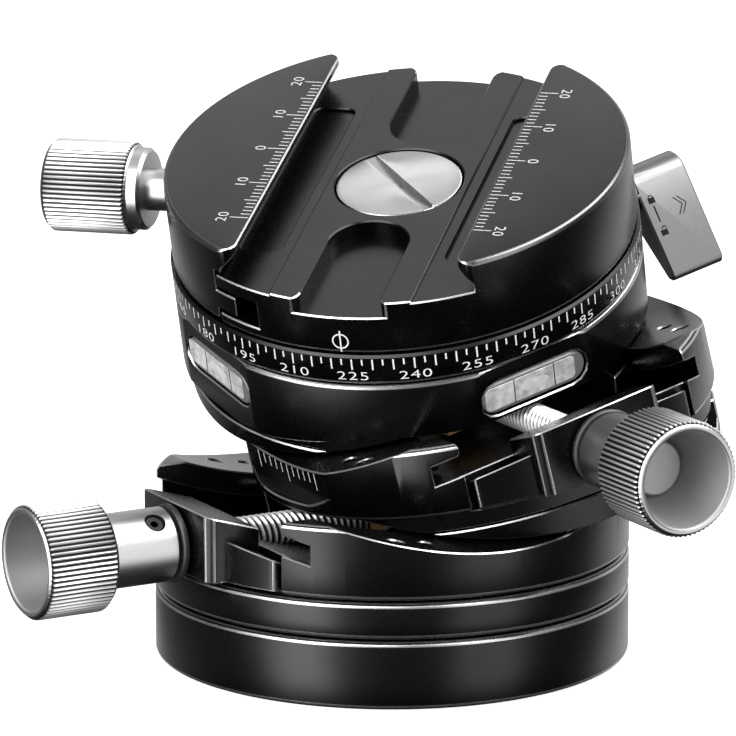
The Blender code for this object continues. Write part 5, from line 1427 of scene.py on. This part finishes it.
def make_clamp():
    """The clamp's deck, its jaws, the slotted centre screw and the small knob."""
    milled("clamp_body", clamp_body(), "clamp", dull_below=DECK + JAW_LIP_H / 2)
    milled("moving_jaw", moving_jaw(), "jaw")
    low = DECK - SCREW_HEAD_H
    outside = [(SCREW_HEAD_R, low), (SCREW_HEAD_R, DECK - EDGE / 2), (SCREW_HEAD_R - EDGE, DECK)]
    screw = revolve([(0, low), *outside, (0, DECK)])
    slot = rod(SLOT_CURVE_R, -SLOT_W / 2, SLOT_W / 2, sides=SIDES)
    turn = Matrix.Rotation(math.radians(SLOT_TURN), 4, "Z") @ shift(0, 0, DECK - SLOT_DEPTH + SLOT_CURVE_R)
    moved(slot, turn @ Matrix.Rotation(math.pi / 2, 4, "X"))
    dressed("centre_screw", "turned", combine(screw, [slot]), "screw", "clamp", bevel=BEVEL / 2)
    back = CLAMP_KNOB_IN - CLAMP_NECK_IN
    front = CLAMP_KNOB_OUT - CLAMP_NECK_IN
    collar = back - CLAMP_COLLAR_T
    bore_r = DRIVE_R + GAP
    inner = [(0, front), (0, CLAMP_BORE_DEPTH), (bore_r, CLAMP_BORE_DEPTH), (bore_r, 0)]
    inner += [(CLAMP_NECK_R, 0), (CLAMP_NECK_R, collar), (CLAMP_COLLAR_R - EDGE, collar)]
    inner += [(CLAMP_COLLAR_R, collar + EDGE), (CLAMP_COLLAR_R, back)]
    knob = ribbed(CLAMP_KNOB_R, back, front, CLAMP_RIBS, inner)
    marked(knob, back, front, CLAMP_KNOB_R, CLAMP_KNOB_RIBS)
    at = shift(-CLAMP_NECK_IN, 0, DRIVE_Z) @ QUARTER_BACK
    dressed("clamp_knob", "turned", knob, "silver", "jaw_drive", at)


def sheet(bm, spot, corners):
    """A flat patch from corners on a surface, by the surface's own two directions."""
    bm.faces.new([bm.verts.new(spot(u, v)) for u, v in corners])


def bar(bm, spot, u0, v0, u1, v1, width):
    """A line of one width from one point to another."""
    along = Vector((u1 - u0, v1 - v0)).normalized() * width / 2
    x, y = -along.y, along.x
    sheet(bm, spot, [(u0 - x, v0 - y), (u1 - x, v1 - y), (u1 + x, v1 + y), (u0 + x, v0 + y)])


def circle(bm, spot, u, v, radius, width, start=0.0, end=2 * math.pi, steps=SMALL_SIDES):
    near = arc((u, v), radius - width / 2, start, end, steps)
    far = arc((u, v), radius + width / 2, start, end, steps)
    for step in range(steps):
        sheet(bm, spot, [near[step], near[step + 1], far[step + 1], far[step]])


def digits(bm, spot, text, u, v, height, stretch):
    """Plain digits, centred at a point, laid on a surface."""
    curve = bpy.data.curves.new("digits", "FONT")
    curve.body = text
    curve.align_x = "CENTER"
    curve.align_y = "CENTER"
    curve.space_character = DIGIT_SPACING
    curve.offset = DIGIT_THIN
    item = linked("digits", curve)
    final = evaluated(item)
    mesh = final.to_mesh()
    heights = [vert.co.y for vert in mesh.vertices]
    size = height / (max(heights) - min(heights))
    verts = []
    for vert in mesh.vertices:
        rise = (vert.co.y - min(heights)) * size - height / 2
        verts.append(bm.verts.new(spot(u + vert.co.x * size * stretch, v + rise)))
    for face in mesh.polygons:
        bm.faces.new([verts[i] for i in face.vertices])
    final.to_mesh_clear()
    bpy.data.objects.remove(item, do_unlink=True)
    bpy.data.curves.remove(curve)


def on_wall(radius):
    """A spot on a round wall, by length along it from +X and by height."""
    out = radius + INK_LIFT
    return lambda u, v: (out * math.cos(u / radius), out * math.sin(u / radius), v)


def make_ring_marks():
    bm = bmesh.new()
    spot = on_wall(BODY_R)
    top = RING_LOW + RING_TALL - RING_CHAMFER - RING_TICK_TOP
    v = RING_LOW + RING_TALL - RING_DIGIT_Z
    for number in range(RING_TICKS):
        u = 2 * math.pi * BODY_R * number / RING_TICKS
        bar(bm, spot, u, top - (RING_TICK_SHORT if number % 2 else RING_TICK_LONG), u, top, RING_TICK_W)
    for number in range(RING_NUMBERS):
        u = 2 * math.pi * BODY_R * number / RING_NUMBERS
        digits(bm, spot, str(360 // RING_NUMBERS * number), u, v, RING_DIGIT_H, RING_DIGIT_STRETCH)
    fine("degree_ring_marks", bm, "ink", "pan_base")


def make_facet_marks():
    bm = bmesh.new()
    x = FACET_DEPTH - BODY_R - INK_LIFT
    for number in range(FACET_TICKS):
        y = (number - (FACET_TICKS - 1) / 2) * FACET_TICK_PITCH
        top = UPPER.rail_top(y) - FACET_TICK_TOP
        low = top - (FACET_TICK_SHORT if number % 5 else FACET_TICK_LONG)
        bar(bm, lambda u, v: (x, u, v), y, low, y, top, FACET_TICK_W)
    fine("tilt_scale_marks", bm, "ink", "middle")


def make_rulers():
    start = JAW_LIP + RULER_START + EDGE / 2
    digits_at = start + RULER_TEN + RULER_DIGIT_GAP + RULER_DIGIT_H / 2
    for name, side, body in (("fixed_jaw", 1, "clamp"), ("moving_jaw", -1, "jaw")):
        bm = bmesh.new()

        def spot(u, v):
            return (side * v, -side * u, JAW_TOP + INK_LIFT)

        for number in range(-RULER_HALF, RULER_HALF + 1):
            length = RULER_TEN if number % 10 == 0 else RULER_FIVE if number % 5 == 0 else RULER_SHORT
            bar(bm, spot, number * MM, start, number * MM, start + length, RULER_TICK_W)
            if number % 10 == 0:
                text = str(abs(number))
                digits(bm, spot, text, number * MM, digits_at, RULER_DIGIT_H, RULER_DIGIT_STRETCH)
        fine(f"{name}_ruler", bm, "ink", body)


def make_index():
    bm = bmesh.new()
    spot = on_wall(CLAMP_R)
    u = -math.pi / 2 * CLAMP_R
    v = CLAMP_LOW + INDEX_RISE
    circle(bm, spot, u, v, INDEX_R, INDEX_W)
    bar(bm, spot, u, v - INDEX_HALF_L, u, v + INDEX_HALF_L, INDEX_W)
    fine("clamp_index_mark", bm, "ink", "clamp")


def make_lever_marks():
    """Two padlocks joined by a line, and two chevrons, on the lever's face."""
    way = LEVER_TOWARD + math.asin((LEVER_R - LEVER_TIP_R) / LEVER_L)
    along = Vector((math.cos(way), math.sin(way)))
    origin = Vector((0, LEVER_Z)) + Vector((along.y, -along.x)) * (LEVER_R + INK_LIFT)
    bm = bmesh.new()

    def spot(u, v):
        place = origin + along * v
        return (LEVER_IN + u, place.x, place.y)

    u = LEVER_MARK_IN
    for number in (0, 2):
        v = LEVER_MARK_DOWN + number * LEVER_MARK_STEP
        bar(bm, spot, u, v, u, v + PADLOCK_H, PADLOCK_W)
        gap = MARK_W if number else 0
        circle(bm, spot, u + gap, v - gap, PADLOCK_R, MARK_W, math.pi, 2 * math.pi, PADLOCK_STEPS)
    middle = LEVER_MARK_DOWN + LEVER_MARK_STEP
    bar(bm, spot, u, middle - LEVER_MARK_STEP / 2, u, middle + LEVER_MARK_STEP / 2, MARK_W * 1.5)
    for u in (CHEVRON_IN, CHEVRON_IN + CHEVRON_STEP):
        for side in (-1, 1):
            bar(bm, spot, u, middle + side * CHEVRON_HALF, u + CHEVRON_REACH, middle, MARK_W)
    fine("lever_marks", bm, "dark_ink", "pan_lock", slot="brushed_lever")


def dress_hidden():
    """Procedural materials for the solids that stay."""
    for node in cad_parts.values():
        if node.hide_render:
            continue
        for place in node.material_slots:
            slot = place.material.name.split(".")[0] if place.material else "steel"
            place.material = LOOKS[SLOT_LOOKS.get(slot, "steel")]


def ray_mix(tree, seen, mirrored, lit, out):
    """What camera and transmission rays see, what glossy rays see, and what lights the object."""
    path = add_node(tree, "LightPath")
    glossy = add_node(tree, "MixShader", {"Fac": (path, "Is Glossy Ray"), 1: (lit, 0), 2: (mirrored, 0)})
    either = maths(tree, "MAXIMUM", (path, "Is Camera Ray"), (path, "Is Transmission Ray"))
    mix = add_node(tree, "MixShader", {"Fac": either, 1: (glossy, 0), 2: (seen, 0)})
    feed(tree, out, "Surface", (mix, 0))


def round_light(tree):
    """The studio's brightness round the object by direction, and the direction's height."""
    toward = math.radians(AZIMUTH) - math.pi / 2
    parts = add_node(tree, "SeparateXYZ", {"Vector": (add_node(tree, "TexCoord"), "Generated")})
    ahead = []
    for turn in (0.0, math.pi / 2):
        x = maths(tree, "MULTIPLY", (parts, "X"), math.cos(toward + turn))
        y = maths(tree, "MULTIPLY", (parts, "Y"), math.sin(toward + turn))
        ahead.append(maths(tree, "ADD", x, y))
    angle = maths(tree, "ARCTAN2", ahead[1], ahead[0])
    share = maths(tree, "ADD", maths(tree, "DIVIDE", angle, 2 * math.pi), 0.5)
    glow = add_node(tree, "ValToRGB", {"Fac": share})
    glow.color_ramp.interpolation = "EASE"
    stops = glow.color_ramp.elements
    for number, (degrees, value) in enumerate(ROUND):
        place = degrees / 360 + 0.5
        stop = stops[number] if number < 2 else stops.new(place)
        stop.position = place
        stop.color = (*[value / ROUND_SCALE] * 3, 1)
    return maths(tree, "MULTIPLY", (glow, "Color"), ROUND_SCALE), (parts, "Z")


def make_world():
    """White for the camera, a soft fill for matt surfaces, and softboxes round the object for glossy ones."""
    world = bpy.data.worlds.new("studio")
    bpy.context.scene.world = world
    world.use_nodes = True
    tree = world.node_tree
    tree.nodes.clear()
    softboxes, height = round_light(tree)
    above = smooth(tree, height, ROUND_HIGH, ROUND_TOP, 1.0, 0.0)
    below = smooth(tree, height, ROUND_BOTTOM, ROUND_LOW, 0.0, 1.0)
    high = smooth(tree, height, ROUND_HIGH, ROUND_TOP, 0.0, UP)
    low = smooth(tree, height, ROUND_BOTTOM, ROUND_LOW, DOWN, 0.0)
    band = maths(tree, "MULTIPLY", maths(tree, "MULTIPLY", softboxes, above), below)
    total = maths(tree, "ADD", maths(tree, "ADD", band, high), low)
    levels = (1.0, total, WORLD_FILL)
    white = (1, 1, 1, 1)
    shaders = [add_node(tree, "Background", {"Color": white, "Strength": level}) for level in levels]
    ray_mix(tree, *shaders, add_node(tree, "OutputWorld"))


def make_floor():
    """A white floor that keeps the shadow; glossy rays pass through it to the studio's softboxes."""
    bm = bmesh.new()
    bm.faces.new(ring_at(bm, FLOOR_R, 0, MEDIUM_SIDES))
    floor = to_object(bm, "floor")
    material, tree, shader = shader_of("floor_white", (WHITE, WHITE, WHITE), 0.0, FLOOR_ROUGHNESS)
    glow = add_node(tree, "Emission", {"Strength": FLOOR_GLOW})
    seen = add_node(tree, "AddShader", {0: (shader, 0), 1: (glow, 0)})
    ray_mix(tree, seen, add_node(tree, "BsdfTransparent"), shader, tree.nodes["Material Output"])
    floor.data.materials.append(material)
    floor.location.z = -FLOOR_DROP


def toward_sky(azimuth, elevation):
    """A direction from the object, by degrees to the right of the camera and degrees up."""
    turn = math.radians(AZIMUTH + azimuth) - math.pi / 2
    rise = math.radians(elevation)
    return Vector((math.cos(turn) * math.cos(rise), math.sin(turn) * math.cos(rise), math.sin(rise)))


def aimed(item, back, distance, axis):
    """Puts a lamp or the camera out along a direction, looking back at the object along its own axis."""
    item.location = Vector((0, 0, TARGET_Z)) + back * distance
    item.rotation_mode = "QUATERNION"
    item.rotation_quaternion = (back if axis == "Z" else -back).to_track_quat(axis, "Y")


def lamp(name, direction, distance, width, height, radiance, lights=True, mirrors=True):
    """A soft panel that looks at the object, of a radiance where one is white."""
    data = bpy.data.lights.new(name, "AREA")
    data.shape = "RECTANGLE"
    data.size = width
    data.size_y = height
    data.energy = radiance * math.pi * width * height
    item = linked(name, data)
    item.visible_diffuse = lights
    item.visible_glossy = mirrors
    aimed(item, direction.normalized(), distance, "Z")


def make_lamps():
    """Lamps that light and mirror come from high behind; fills only light, and cards only mirror."""
    for name, way, *sizes in HIGH_LAMPS:
        lamp(name, Vector(way), *sizes)
    for name, azimuth, elevation, *sizes, card in SIDE_LAMPS:
        lamp(name, toward_sky(azimuth, elevation), *sizes, lights=not card, mirrors=card)


def make_camera():
    data = bpy.data.cameras.new("photo_view")
    data.sensor_width = SENSOR
    data.lens = LENS
    data.shift_x = SHIFT_X
    data.shift_y = SHIFT_Y
    data.clip_start = DISTANCE / 100
    data.clip_end = FLOOR_R * 4
    camera = linked("photo_view", data)
    aimed(camera, toward_sky(0, ELEVATION), DISTANCE, "-Z")
    bpy.context.scene.camera = camera


LOWER = Stage("lower", LOWER_STAGE_Z, LOWER_PLATE_R, LOWER_NECK_L, 0, LOWER_TILT)
UPPER = Stage("upper", UPPER_STAGE_Z, UPPER_PLATE_R, UPPER_NECK_L, 1, UPPER_TILT)
MIDDLE_AT = swing(LOWER.centre, LOWER_TILT, "Y")
PAN_AT = MIDDLE_AT @ swing(UPPER.centre, -UPPER_TILT, "X")
CLAMP_AT = PAN_AT @ Matrix.Rotation(math.radians(CLAMP_TURN), 4, "Z")
PLACES = {
    "base": Matrix(),
    "lower_drive": Matrix(),
    "middle": MIDDLE_AT,
    "upper_drive": MIDDLE_AT,
    "pan_base": PAN_AT,
    "pan_lock": PAN_AT,
    "clamp": CLAMP_AT,
    "jaw": CLAMP_AT,
    "jaw_drive": CLAMP_AT,
}
LOOKS = make_looks()
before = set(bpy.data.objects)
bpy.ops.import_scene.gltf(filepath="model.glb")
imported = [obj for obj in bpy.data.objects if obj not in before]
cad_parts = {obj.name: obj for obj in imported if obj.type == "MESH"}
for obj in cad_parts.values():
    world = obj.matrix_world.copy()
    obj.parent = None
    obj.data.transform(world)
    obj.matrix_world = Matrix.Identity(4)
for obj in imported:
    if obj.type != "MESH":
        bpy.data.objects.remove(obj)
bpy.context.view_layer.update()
bpy.context.scene.view_settings.view_transform = "Standard"
make_base()
make_stage(LOWER, "base", "middle", "lower_drive", UPPER_STAGE_Z - PLATE_H - GAP)
milled("mid_frame", mid_frame(UPPER, LOWER), "middle")
make_stage(UPPER, "middle", "pan_base", "upper_drive", PAN_LOW_Z - GAP)
make_pan()
make_clamp()
make_ring_marks()
make_facet_marks()
make_rulers()
make_index()
make_lever_marks()
dress_hidden()
make_world()
make_floor()
make_lamps()
make_camera()
